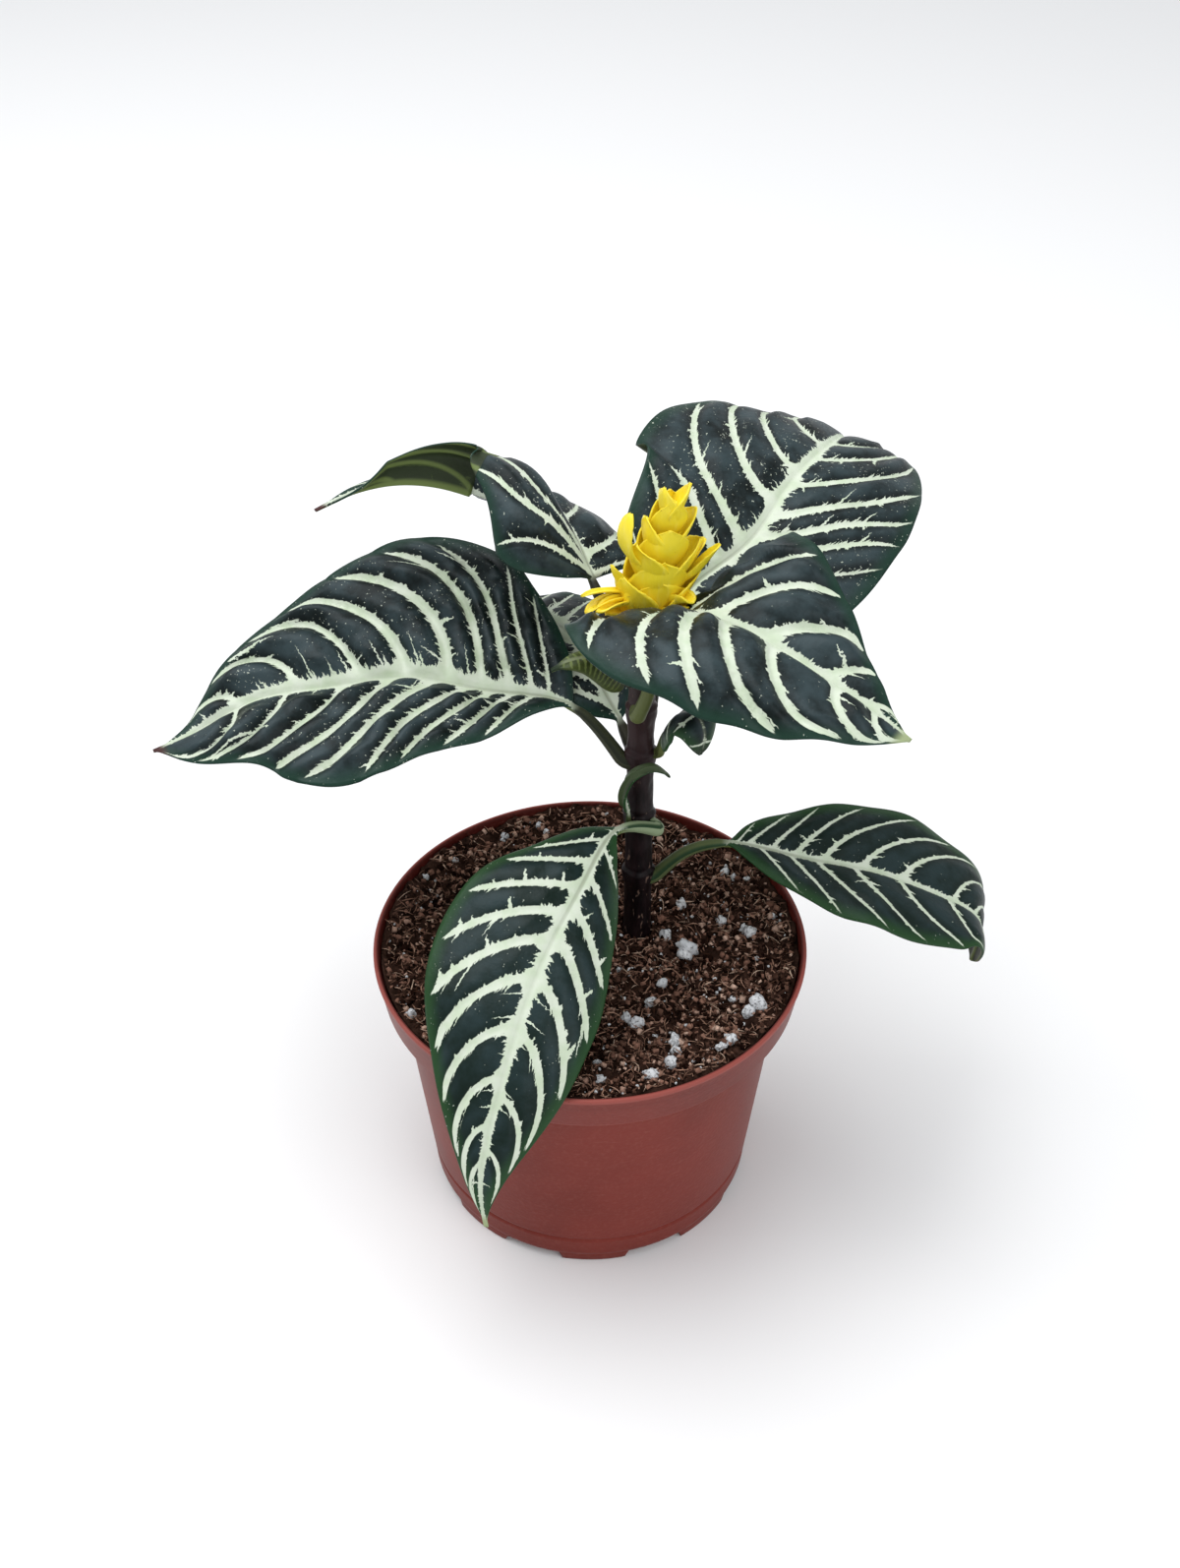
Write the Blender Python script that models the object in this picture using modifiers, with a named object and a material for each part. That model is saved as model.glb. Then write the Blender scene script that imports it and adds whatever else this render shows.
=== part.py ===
"""A zebra plant in a plastic grow pot.

The pot stands on z = 0. Every shape is worked out in millimetres about the pot's own axis, and is then
moved by CENTRE, so that the origin is the bottom centre of the whole plant's box.
"""

import math

import bmesh
import bpy
import numpy as np

MM = 0.001
GAP = 0.3
CENTRE = (2.8, -18.5)
SEED = 7
SHARP_DEGREES = 40.0

POT_HEIGHT = 82.4
RIM_RADIUS = 59.5
RIM_WALL = 1.6
COLLAR_DEPTH = 12.2
COLLAR_TAPER = 2.2
COLLAR_STEP = 4.4
LEDGE_HEIGHT = 1.4
LEDGE_SLOPE = 0.5
BODY_WALL = 1.5
BASE_RADIUS = 46.1
CORNER_RADIUS = 2.5
FOOT_HEIGHT = 3.0
FOOT_RADIUS = 45.6
FOOT_WALL = 3.4
FOOT_COUNT = 8
NOTCH_DEGREES = 21.5
FRONT_FOOT_DEGREES = -88.7
GROOVE_HEIGHT = 10.4
GROOVE_DEPTH = 0.5
GROOVE_TOP = 1.2
GROOVE_FLAT = 0.5
GROOVE_LOW = 0.7
EDGE_BEVEL = 0.4
DRAIN_RADIUS = 3.5
DRAIN_CIRCLE = 30.0
DRAIN_COUNT = 6
NOTCH_SINK = 0.3
FLOOR_TOP = FOOT_HEIGHT + BODY_WALL
INNER_LOW = FLOOR_TOP + 3.5
POT_STEPS = 56

SOIL_TOP = 74.8
SOIL_EDGE = 77.8
SOIL_RINGS = 8
SOIL_STEPS = 36
SOIL_BUMP = 0.55
WALL_ALLOWANCE = 0.25
SOIL_LIFT = 0.7
PERLITE_GRAINS = 26
PERLITE_RADIUS = (1.2, 2.4)
PERLITE_SINK = 0.25
STEM_CLEARANCE = 3.0
HOLE_ALLOWANCE = 0.8
# Each wave of the soil's top: its height, and its turns per millimetre and start along x and along y.
SOIL_WAVES = ((1.0, 0.31, 0.9, 0.27, -0.4), (0.7, 0.19, 2.0, 0.43, 1.6), (0.5, 0.56, 0.0, 0.21, 0.5))

STEM_X = 13.2
STEM_Y = 11.0
STEM_FOOT = 46.0
STEM_TOP = 178.0
STEM_FOOT_RADIUS = 3.9
STEM_TOP_RADIUS = 3.1
NODE_HEIGHTS = (97.0, 117.0, 138.0, 152.5)
NODE_SWELL = 0.7
NODE_LENGTH = 3.2
STEM_STEPS = 14

FLOWER_HEIGHT = 37.0
FLOWER_LEAN = 6.5
BRACT_TIERS = 8
BRACT_FOOT = 0.8
BRACT_RISE = 4.25
BRACT_LENGTH = (15.5, 9.5)
BRACT_WIDTH = (15.5, 7.0)
BRACT_THICKNESS = 0.8
BRACT_SINK = 0.9
BRACT_BEND = 7.5
BRACT_ROWS = 5
BRACT_COLUMNS = 5
FRONT_FLARE = 14.0
SIDE_FLARE = 40.0
FRONT_BRACT_DEGREES = -97.0
BRACT_BULGE = 0.12
BRACT_SHAPE = (0.45, 0.5)
BRACT_TIP = 0.5
CORE_LEVELS = (0.0, 0.6, 6.0, 14.0, 24.0, 33.0, 35.0)
CORE_RADII = (0.0, 3.6, 5.6, 5.4, 3.8, 2.0, 0.0)
CORE_SIDES = 12
# Bracts that stand away from the spike: height, heading in degrees, length, width and flare.
LOOSE_BRACTS = ((11.0, -5.0, 19.5, 5.5, 37.0), (6.0, 192.0, 14.0, 5.5, 68.0), (8.0, 200.0, 14.0, 7.0, 44.0))

BLADE_THICKNESS = 0.8
RIB_THICKNESS = 1.9
RIB_FADE = 0.2
RIB_SHARE = 0.12
PETIOLE_RADIUS = 1.6
# The stalks that are thinner than that.
STALK_RADII = {"leaf_young_left": 0.9, "leaf_under_right": 1.1, "leaf_curl": 0.7, "leaf_low_right": 1.3}
TIP_HALF_WIDTH = 0.6
# Where a half blade is narrower than this, or than this share of its widest, it lies flatter and flatter.
FOLD_WIDTH = 6.0
FOLD_SHARE = 0.7
STALK_FLARE = 1.15
STALK_TAPER = 0.35
STALK_ALLOWANCE = 0.1
# The share of the blade's length over which the round stalk turns into the blade.
MERGE_SHARE = 0.10
PINCH_FROM = 0.97
PINCH = 0.35
WAVE_WIDTH = 12.0
WAVE_SHIFT = 1.6
HALF_COLUMNS = 3


def collection(name):
    """Adds an empty collection to the scene."""
    made = bpy.data.collections.new(name)
    bpy.context.scene.collection.children.link(made)
    return made


def material(name, colour, roughness):
    """A plain Principled finish in linear colour."""
    made = bpy.data.materials.new(name)
    made.use_nodes = True
    shader = made.node_tree.nodes["Principled BSDF"]
    shader.inputs["Base Color"].default_value = (*colour, 1.0)
    shader.inputs["Roughness"].default_value = roughness
    shader.inputs["Metallic"].default_value = 0.0
    return made


def add_object(name, mesh, finish, group):
    """Links a mesh as an object, smooth except at its sharp corners."""
    made = bpy.data.objects.new(name, mesh)
    if finish:
        mesh.materials.append(finish)
    group.objects.link(made)
    mesh.shade_smooth()
    mesh.set_sharp_from_angle(angle=math.radians(SHARP_DEGREES))
    return made


def mesh_from(name, points, faces):
    """A mesh from points in millimetres about the pot's axis, moved by CENTRE into metres."""
    mesh = bpy.data.meshes.new(name)
    placed = (np.asarray(points, float) + (*CENTRE, 0.0)) * MM
    mesh.from_pydata(placed.tolist(), [], [tuple(face) for face in faces])
    mesh.validate()
    return mesh


def turned(name, profile, centre, steps, finish, group):
    """A closed profile of (radius, height) points, turned about a vertical axis by a Screw modifier."""
    mesh = bpy.data.meshes.new(name)
    rows = [(radius * MM, 0.0, height * MM) for radius, height in profile]
    on_axis = profile[0][0] == 0.0 and profile[-1][0] == 0.0
    last = len(rows) - 1
    edges = [(i, i + 1) for i in range(last)] + ([] if on_axis else [(last, 0)])
    mesh.from_pydata(rows, edges, [])
    made = bpy.data.objects.new(name, mesh)
    mesh.materials.append(finish)
    group.objects.link(made)
    made.location = ((centre[0] + CENTRE[0]) * MM, (centre[1] + CENTRE[1]) * MM, 0.0)
    screw = made.modifiers.new("turn", "SCREW")
    screw.steps = screw.render_steps = steps
    screw.use_merge_vertices = True
    screw.merge_threshold = 0.00001
    screw.use_smooth_shade = True
    return made


def place_cutter(cutter, at):
    """Puts a cutter at a point of the pot's frame and hides it."""
    cutter.location = ((at[0] + CENTRE[0]) * MM, (at[1] + CENTRE[1]) * MM, at[2] * MM)
    cutter.hide_render = True
    cutter.display_type = "WIRE"


def cylinder_cutter(name, radius, low, high, at, group, sides):
    """An upright round cutter, from low to high."""
    shape = bmesh.new()
    bmesh.ops.create_cone(shape, cap_ends=True, segments=sides, radius1=radius * MM, radius2=radius * MM,
                          depth=(high - low) * MM)
    mesh = bpy.data.meshes.new(name)
    shape.to_mesh(mesh)
    shape.free()
    made = bpy.data.objects.new(name, mesh)
    group.objects.link(made)
    place_cutter(made, (*at, (low + high) / 2))
    return made


def cut(made, cutter):
    """Takes a cutter out of an object with an exact Boolean."""
    boolean = made.modifiers.new(cutter.name, "BOOLEAN")
    boolean.operation = "DIFFERENCE"
    boolean.object = cutter


def fuse(made, pieces):
    """Joins loose pieces to an object with one Boolean union, applies it and removes the pieces."""
    group = collection(made.name + "_pieces")
    for piece in pieces:
        group.objects.link(piece)
    for solver in ("MANIFOLD", "EXACT"):
        boolean = made.modifiers.new("fuse", "BOOLEAN")
        boolean.operation = "UNION"
        boolean.operand_type = "COLLECTION"
        boolean.collection = group
        boolean.solver = solver
        graph = bpy.context.evaluated_depsgraph_get()
        mesh = bpy.data.meshes.new_from_object(made.evaluated_get(graph))
        if len(mesh.polygons) > len(made.data.polygons):
            break
        made.modifiers.remove(boolean)
    made.modifiers.clear()
    made.data = mesh
    for piece in pieces:
        bpy.data.objects.remove(piece)
    bpy.data.collections.remove(group)
    mesh.shade_smooth()
    mesh.set_sharp_from_angle(angle=math.radians(SHARP_DEGREES))


def smooth_knots(knots, at):
    """A smooth curve through equally spaced values, read at places from 0 to 1 (Catmull-Rom)."""
    knots = np.atleast_1d(np.asarray(knots, float))
    if len(knots) == 1:
        return np.full(np.shape(at), knots[0])
    spans = len(knots) - 1
    place = np.clip(at, 0.0, 1.0) * spans
    i = np.minimum(place.astype(int), spans - 1)
    u = place - i
    k = np.concatenate([[2 * knots[0] - knots[1]], knots, [2 * knots[-1] - knots[-2]]])
    a, b, c, d = k[i], k[i + 1], k[i + 2], k[i + 3]
    return b + 0.5 * u * ((c - a) + u * ((2 * a - 5 * b + 4 * c - d) + u * (3 * b - a - 3 * c + d)))


def spline(points, count):
    """Even stations along the natural cubic through the points, with the unit direction at each."""
    points = np.asarray(points, float)
    knots = np.concatenate([[0.0], np.cumsum(np.linalg.norm(np.diff(points, axis=0), axis=1))])
    step = np.diff(knots)
    size = len(points)
    system = np.zeros((size, size))
    right = np.zeros((size, 3))
    system[0, 0] = system[-1, -1] = 1.0
    for i in range(1, size - 1):
        system[i, i - 1:i + 2] = step[i - 1], 2 * (step[i - 1] + step[i]), step[i]
        right[i] = 6 * ((points[i + 1] - points[i]) / step[i] - (points[i] - points[i - 1]) / step[i - 1])
    bend = np.linalg.solve(system, right)

    def read(at):
        i = np.clip(np.searchsorted(knots, at, side="right") - 1, 0, size - 2)
        h = step[i][:, None]
        before = (knots[i + 1] - at)[:, None]
        after = (at - knots[i])[:, None]
        return (bend[i] * before ** 3 + bend[i + 1] * after ** 3) / (6 * h) + (
            (points[i] / h - bend[i] * h / 6) * before + (points[i + 1] / h - bend[i + 1] * h / 6) * after)

    fine = np.linspace(0.0, knots[-1], 400)
    curve = read(fine)
    run = np.concatenate([[0.0], np.cumsum(np.linalg.norm(np.diff(curve, axis=0), axis=1))])
    at = np.interp(np.linspace(0.0, run[-1], count), run, fine)
    nudge = knots[-1] * 1e-4
    ahead = read(np.minimum(at + nudge, knots[-1])) - read(np.maximum(at - nudge, 0.0))
    return read(at), ahead / np.linalg.norm(ahead, axis=1)[:, None]


def half_width(s, fullness, taper):
    """A blade's half width from its base, s = 0, to its tip, s = 1, as a share of the widest."""
    widest = fullness / (fullness + taper)
    s = np.clip(s, 0.0, 1.0)
    return (s / widest) ** fullness * ((1 - s) / (1 - widest)) ** taper


def across(width, rib_slope, edge_slope, v):
    """Half a cross-section: the slope turns evenly from the rib to the edge. Gives the run and the rise."""
    start = np.radians(rib_slope)
    turn = np.radians(edge_slope) - start
    turn = np.where(np.abs(turn) < 1e-3, 1e-3, turn)
    run = (np.sin(start + turn * v) - np.sin(start)) / turn
    rise = (np.cos(start) - np.cos(start + turn * v)) / turn
    return width * run, width * rise


def leaf_solid(leaf, stations, columns):
    """A leaf as one closed skin: rings round its midrib, oval on the stalk and lens-shaped on the blade.

    Each ring has a row of points over the top, from the left edge to the right one, and the same row
    back under it. The rings are split into triangles alike on both faces.
    """
    middle, ahead = spline(leaf["rib"], stations)
    t = np.linspace(0.0, 1.0, stations)
    s = (t - leaf["stalk"]) / (1 - leaf["stalk"])
    facing = np.radians(smooth_knots(leaf["left_faces"], t))
    side = np.stack([np.cos(facing), np.sin(facing), np.zeros(stations)], -1)
    side -= (side * ahead).sum(1)[:, None] * ahead
    side /= np.linalg.norm(side, axis=1)[:, None]
    up = np.cross(ahead, side)

    v = np.linspace(1.0, 0.0, columns + 1)[None, :]
    rows = []
    for name, sign in (("left", 1.0), ("right", -1.0)):
        width = leaf[name + "_width"] * half_width(s, *leaf[name + "_shape"])[:, None]
        width = np.maximum(width, TIP_HALF_WIDTH)
        rib_slope = smooth_knots([knot[0] for knot in leaf[name]], s)[:, None]
        edge_slope = smooth_knots([knot[1] for knot in leaf[name]], s)[:, None]
        fold = np.clip((width - TIP_HALF_WIDTH) / min(FOLD_WIDTH, FOLD_SHARE * width.max()), 0.0, 1.0)
        run, rise = across(width, rib_slope * fold, edge_slope * fold, v)
        wave = leaf["wave"] * np.sin(2 * np.pi * leaf["waves"] * s + (0.0 if sign > 0 else WAVE_SHIFT))
        rise = rise + wave[:, None] * v ** 2 * np.clip(width / WAVE_WIDTH, 0.0, 1.0)
        rows.append(middle[:, None] + sign * side[:, None] * run[..., None] + up[:, None] * rise[..., None])
    blade = np.concatenate([rows[0], rows[1][:, -2::-1]], axis=1)

    count = 2 * columns + 1
    place = np.linspace(-1.0, 1.0, count)[None, :]
    rib = np.exp(-(place / RIB_SHARE) ** 2)
    thick = BLADE_THICKNESS + (RIB_THICKNESS * (1 - t)[:, None] - RIB_FADE) * rib
    normal = np.cross(np.gradient(blade, axis=1), np.gradient(blade, axis=0))
    normal /= np.linalg.norm(normal, axis=2, keepdims=True)
    normal *= np.sign((normal[:, columns] * up).sum(1))[:, None, None]
    top = blade + normal * BLADE_THICKNESS / 2
    under = blade - normal * (thick - BLADE_THICKNESS / 2)[..., None]

    slimmer = STALK_FLARE - STALK_TAPER * np.clip(t / leaf["stalk"], 0.0, 1.0)
    radius = leaf["stalk_radius"] * slimmer[:, None]
    angle = np.pi * ((np.arange(count) + 0.5) / count)[None, :]
    spread = side[:, None] * (radius * np.cos(angle))[..., None]
    lift = up[:, None] * (radius * np.sin(angle))[..., None]
    stalk_top = middle[:, None] + spread + lift
    stalk_under = middle[:, None] + spread - lift

    blend = np.clip(s / MERGE_SHARE + 0.5, 0.0, 1.0)[:, None, None]
    blend = blend * blend * (3 - 2 * blend)
    tip = np.clip((t - PINCH_FROM) / (1 - PINCH_FROM), 0.0, 1.0)[:, None, None] * PINCH
    top = stalk_top * (1 - blend) + top * blend
    under = stalk_under * (1 - blend) + under * blend
    centre = (top + under) / 2
    top = top + (centre - top) * tip
    under = under + (centre - under) * tip

    ring = np.concatenate([top, under[:, ::-1]], axis=1)
    around = ring.shape[1]
    points = ring.reshape(-1, 3)
    faces = []
    for i in range(stations - 1):
        for k in range(around):
            a, b = i * around + k, i * around + (k + 1) % around
            c, d = a + around, b + around
            if k < count - 1 or k == around - 1:
                faces += [(a, b, d), (a, d, c)]
            else:
                faces += [(a, b, c), (b, d, c)]
    faces.append(tuple(range(around - 1, -1, -1)))
    faces.append(tuple((stations - 1) * around + k for k in range(around)))
    return points, faces


def on_stem(heading, height, radius, towards):
    """Where a stalk starts, so that its end stays GAP off the stem's skin on the side that it heads for.

    The end is a disc square to the stalk, so it reaches back by its radius times the sine of the angle
    between the stalk and the stem's own radius.
    """
    turn = math.radians(heading)
    out = np.array([math.cos(turn), math.sin(turn), 0.0])
    axis = np.array([STEM_X, STEM_Y, height])
    skin = float(stem_radius(np.array([height]))[0])
    reach = skin + GAP + radius
    for _ in range(3):
        ahead = np.asarray(towards, float) - axis - out * reach
        slant = float(ahead @ out) / float(np.linalg.norm(ahead))
        reach = skin + GAP + STALK_ALLOWANCE + STALK_FLARE * radius * math.sqrt(1 - slant ** 2)
    return tuple(axis + out * reach)


def stem_radius(height):
    """The stem's radius at a height: an even taper, with a swelling round each node."""
    share = np.clip((height - STEM_FOOT) / (STEM_TOP - STEM_FOOT), 0.0, 1.0)
    radius = STEM_FOOT_RADIUS + (STEM_TOP_RADIUS - STEM_FOOT_RADIUS) * share
    for node in NODE_HEIGHTS:
        radius = radius + NODE_SWELL * np.exp(-((height - node) / NODE_LENGTH) ** 2)
    return radius


def body_radius(height):
    """The radius of the body's outer slope at a height: from the rounded corner up to the collar."""
    low, high = FOOT_HEIGHT + CORNER_RADIUS, POT_HEIGHT - COLLAR_DEPTH
    top = RIM_RADIUS - COLLAR_TAPER - COLLAR_STEP
    return BASE_RADIUS + (top - BASE_RADIUS) * (height - low) / (high - low)


def inner_radius(height):
    """The pot's inner radius at a height: in the collar, and below the ledge that joins it to the body."""
    low = POT_HEIGHT - COLLAR_DEPTH
    if height >= low + LEDGE_HEIGHT:
        return RIM_RADIUS - RIM_WALL - COLLAR_TAPER * (1 - (height - low) / COLLAR_DEPTH)
    return body_radius(height) - BODY_WALL


def make_pot(group, cutters):
    """The pot: one turned wall, its foot ring cut into feet and its floor drilled for drainage."""
    collar_low = POT_HEIGHT - COLLAR_DEPTH
    ledge = collar_low + LEDGE_HEIGHT
    collar_radius = RIM_RADIUS - COLLAR_TAPER
    lip = [(RIM_RADIUS - RIM_WALL + EDGE_BEVEL, POT_HEIGHT), (RIM_RADIUS - EDGE_BEVEL, POT_HEIGHT),
           (RIM_RADIUS, POT_HEIGHT - EDGE_BEVEL)]
    collar = [(collar_radius, collar_low + EDGE_BEVEL), (collar_radius - EDGE_BEVEL, collar_low),
              (body_radius(collar_low - EDGE_BEVEL), collar_low - EDGE_BEVEL)]
    groove = [(body_radius(GROOVE_HEIGHT + rise) - depth, GROOVE_HEIGHT + rise) for rise, depth in (
        (GROOVE_TOP, 0.0), (GROOVE_FLAT, GROOVE_DEPTH), (0.0, GROOVE_DEPTH), (-GROOVE_LOW, 0.0))]
    corner = [(BASE_RADIUS - CORNER_RADIUS * (1 - math.cos(turn)),
               FOOT_HEIGHT + CORNER_RADIUS * (1 - math.sin(turn)))
              for turn in np.radians([0.0, 20.0, 40.0, 60.0])]
    foot = [(FOOT_RADIUS, FOOT_HEIGHT), (FOOT_RADIUS - EDGE_BEVEL, 0.0), (FOOT_RADIUS - FOOT_WALL, 0.0),
            (FOOT_RADIUS - FOOT_WALL - EDGE_BEVEL, FOOT_HEIGHT), (0.0, FOOT_HEIGHT)]
    inside = [(0.0, FLOOR_TOP), (BASE_RADIUS - CORNER_RADIUS - 1.0, FLOOR_TOP),
              (inner_radius(INNER_LOW), INNER_LOW), (inner_radius(ledge - LEDGE_SLOPE), ledge - LEDGE_SLOPE),
              (inner_radius(ledge + LEDGE_SLOPE), ledge + LEDGE_SLOPE),
              (RIM_RADIUS - RIM_WALL, POT_HEIGHT - EDGE_BEVEL)]
    finish = material("pot plastic", (0.19, 0.045, 0.035), 0.42)
    pot = turned("pot", inside + lip + collar + groove + corner + foot, (0.0, 0.0), POT_STEPS, finish, group)

    reach = FOOT_RADIUS - FOOT_WALL / 2
    notch_width = 2 * reach * math.sin(math.radians(NOTCH_DEGREES / 2))
    for i in range(FOOT_COUNT):
        turn = math.radians(FRONT_FOOT_DEGREES + (i + 0.5) * 360 / FOOT_COUNT)
        shape = bmesh.new()
        bmesh.ops.create_cube(shape, size=1.0)
        size = (FOOT_WALL * 3 * MM, notch_width * MM, FOOT_HEIGHT * 2 * MM)
        bmesh.ops.scale(shape, vec=size, verts=shape.verts)
        mesh = bpy.data.meshes.new(f"notch_{i + 1}")
        shape.to_mesh(mesh)
        shape.free()
        notch = bpy.data.objects.new(mesh.name, mesh)
        cutters.objects.link(notch)
        place_cutter(notch, (reach * math.cos(turn), reach * math.sin(turn), -NOTCH_SINK))
        notch.rotation_euler.z = turn
        cut(pot, notch)
    for i in range(DRAIN_COUNT):
        turn = 2 * math.pi * (i + 0.5) / DRAIN_COUNT
        at = (DRAIN_CIRCLE * math.cos(turn), DRAIN_CIRCLE * math.sin(turn))
        cut(pot, cylinder_cutter(f"drain_{i + 1}", DRAIN_RADIUS, -1.0, FLOOR_TOP + 2.0, at, cutters, 14))


def soil_height(x, y):
    """The soil's top: a shallow dish with low bumps, which are crossed waves and fade towards the wall."""
    bumps = sum(high * np.sin(along_x * x + start_x) * np.cos(along_y * y + start_y)
                for high, along_x, start_x, along_y, start_y in SOIL_WAVES)
    dish = (x ** 2 + y ** 2) / inner_radius(SOIL_EDGE) ** 2
    return SOIL_TOP + (SOIL_EDGE - SOIL_TOP) * dish + SOIL_BUMP * bumps * (1 - 0.7 * dish)


def make_soil(group, cutters):
    """The soil fills the pot under its bumpy top, with perlite grains fused on and a hole for the stem."""
    ledge = POT_HEIGHT - COLLAR_DEPTH + LEDGE_HEIGHT
    levels = [ledge + LEDGE_SLOPE + SOIL_LIFT, ledge - LEDGE_SLOPE + GAP, INNER_LOW + 0.5]
    wall = [(inner_radius(level) - GAP - WALL_ALLOWANCE, level) for level in levels]
    wall.append((BASE_RADIUS - CORNER_RADIUS - 2.0, FLOOR_TOP + GAP))
    top_radius = inner_radius(SOIL_EDGE - 1.0) - GAP - WALL_ALLOWANCE
    rings = np.linspace(0.0, 1.0, SOIL_RINGS + 1)[1:]
    turn = np.linspace(0.0, 2 * np.pi, SOIL_STEPS, endpoint=False)
    radii = np.concatenate([top_radius * rings, [radius for radius, _ in wall]])
    x = np.concatenate([[0.0], (radii[:, None] * np.cos(turn)).ravel(), [0.0]])
    y = np.concatenate([[0.0], (radii[:, None] * np.sin(turn)).ravel(), [0.0]])
    z = soil_height(x, y)
    tops = 1 + SOIL_RINGS * SOIL_STEPS
    z[tops:-1] = np.repeat([level for _, level in wall], SOIL_STEPS)
    z[-1] = wall[-1][1]
    faces = []
    for k in range(SOIL_STEPS):
        n = (k + 1) % SOIL_STEPS
        faces.append((0, 1 + k, 1 + n))
        for i in range(len(radii) - 1):
            a, b = 1 + i * SOIL_STEPS + k, 1 + i * SOIL_STEPS + n
            faces.append((a, a + SOIL_STEPS, b + SOIL_STEPS, b))
        last = 1 + (len(radii) - 1) * SOIL_STEPS
        faces.append((last + n, last + k, len(x) - 1))
    finish = material("soil", (0.035, 0.016, 0.010), 0.95)
    soil = add_object("soil", mesh_from("soil", np.stack([x, y, z], -1), faces), finish, group)

    draw = np.random.default_rng(SEED)
    grains = []
    while len(grains) < PERLITE_GRAINS:
        radius = draw.uniform(*PERLITE_RADIUS)
        reach = math.sqrt(draw.uniform(0.02, 0.8)) * top_radius
        turn = draw.uniform(-math.pi, math.pi)
        at = (reach * math.cos(turn), reach * math.sin(turn))
        if math.hypot(at[0] - STEM_X, at[1] - STEM_Y) < STEM_FOOT_RADIUS + radius + STEM_CLEARANCE:
            continue
        shape = bmesh.new()
        bmesh.ops.create_icosphere(shape, subdivisions=1, radius=radius)
        points = np.array([tuple(vert.co) for vert in shape.verts])
        points *= draw.uniform(0.75, 1.2, points.shape)
        points += (*at, float(soil_height(*at)) + radius * PERLITE_SINK)
        faces = [tuple(vert.index for vert in face.verts) for face in shape.faces]
        shape.free()
        name = f"grain_{len(grains) + 1}"
        grains.append(bpy.data.objects.new(name, mesh_from(name, points, faces)))
    fuse(soil, grains)
    cut(soil, cylinder_cutter("stem_hole", STEM_FOOT_RADIUS + HOLE_ALLOWANCE, STEM_FOOT - 2 * GAP,
                              SOIL_EDGE + 5.0, (STEM_X, STEM_Y), cutters, 20))


def make_stem(group):
    """The stem: a turned rod with swollen nodes, from its foot in the soil to the flower."""
    heights = np.unique(np.round(np.concatenate([
        [STEM_FOOT + 1.0, 60.0, 76.0, 87.0, STEM_TOP - 8.0, STEM_TOP - 0.8],
        *[[node - 5.0, node - 2.0, node, node + 2.0, node + 5.0] for node in NODE_HEIGHTS]]), 2))
    skin = [(float(stem_radius(np.array([h]))[0]), float(h)) for h in heights[::-1]]
    profile = [(0.0, STEM_TOP), (STEM_TOP_RADIUS - 0.8, STEM_TOP)] + skin
    profile += [(STEM_FOOT_RADIUS - 1.0, STEM_FOOT), (0.0, STEM_FOOT)]
    finish = material("stem bark", (0.020, 0.009, 0.012), 0.5)
    turned("stem", profile, (STEM_X, STEM_Y), STEM_STEPS, finish, group)


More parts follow.
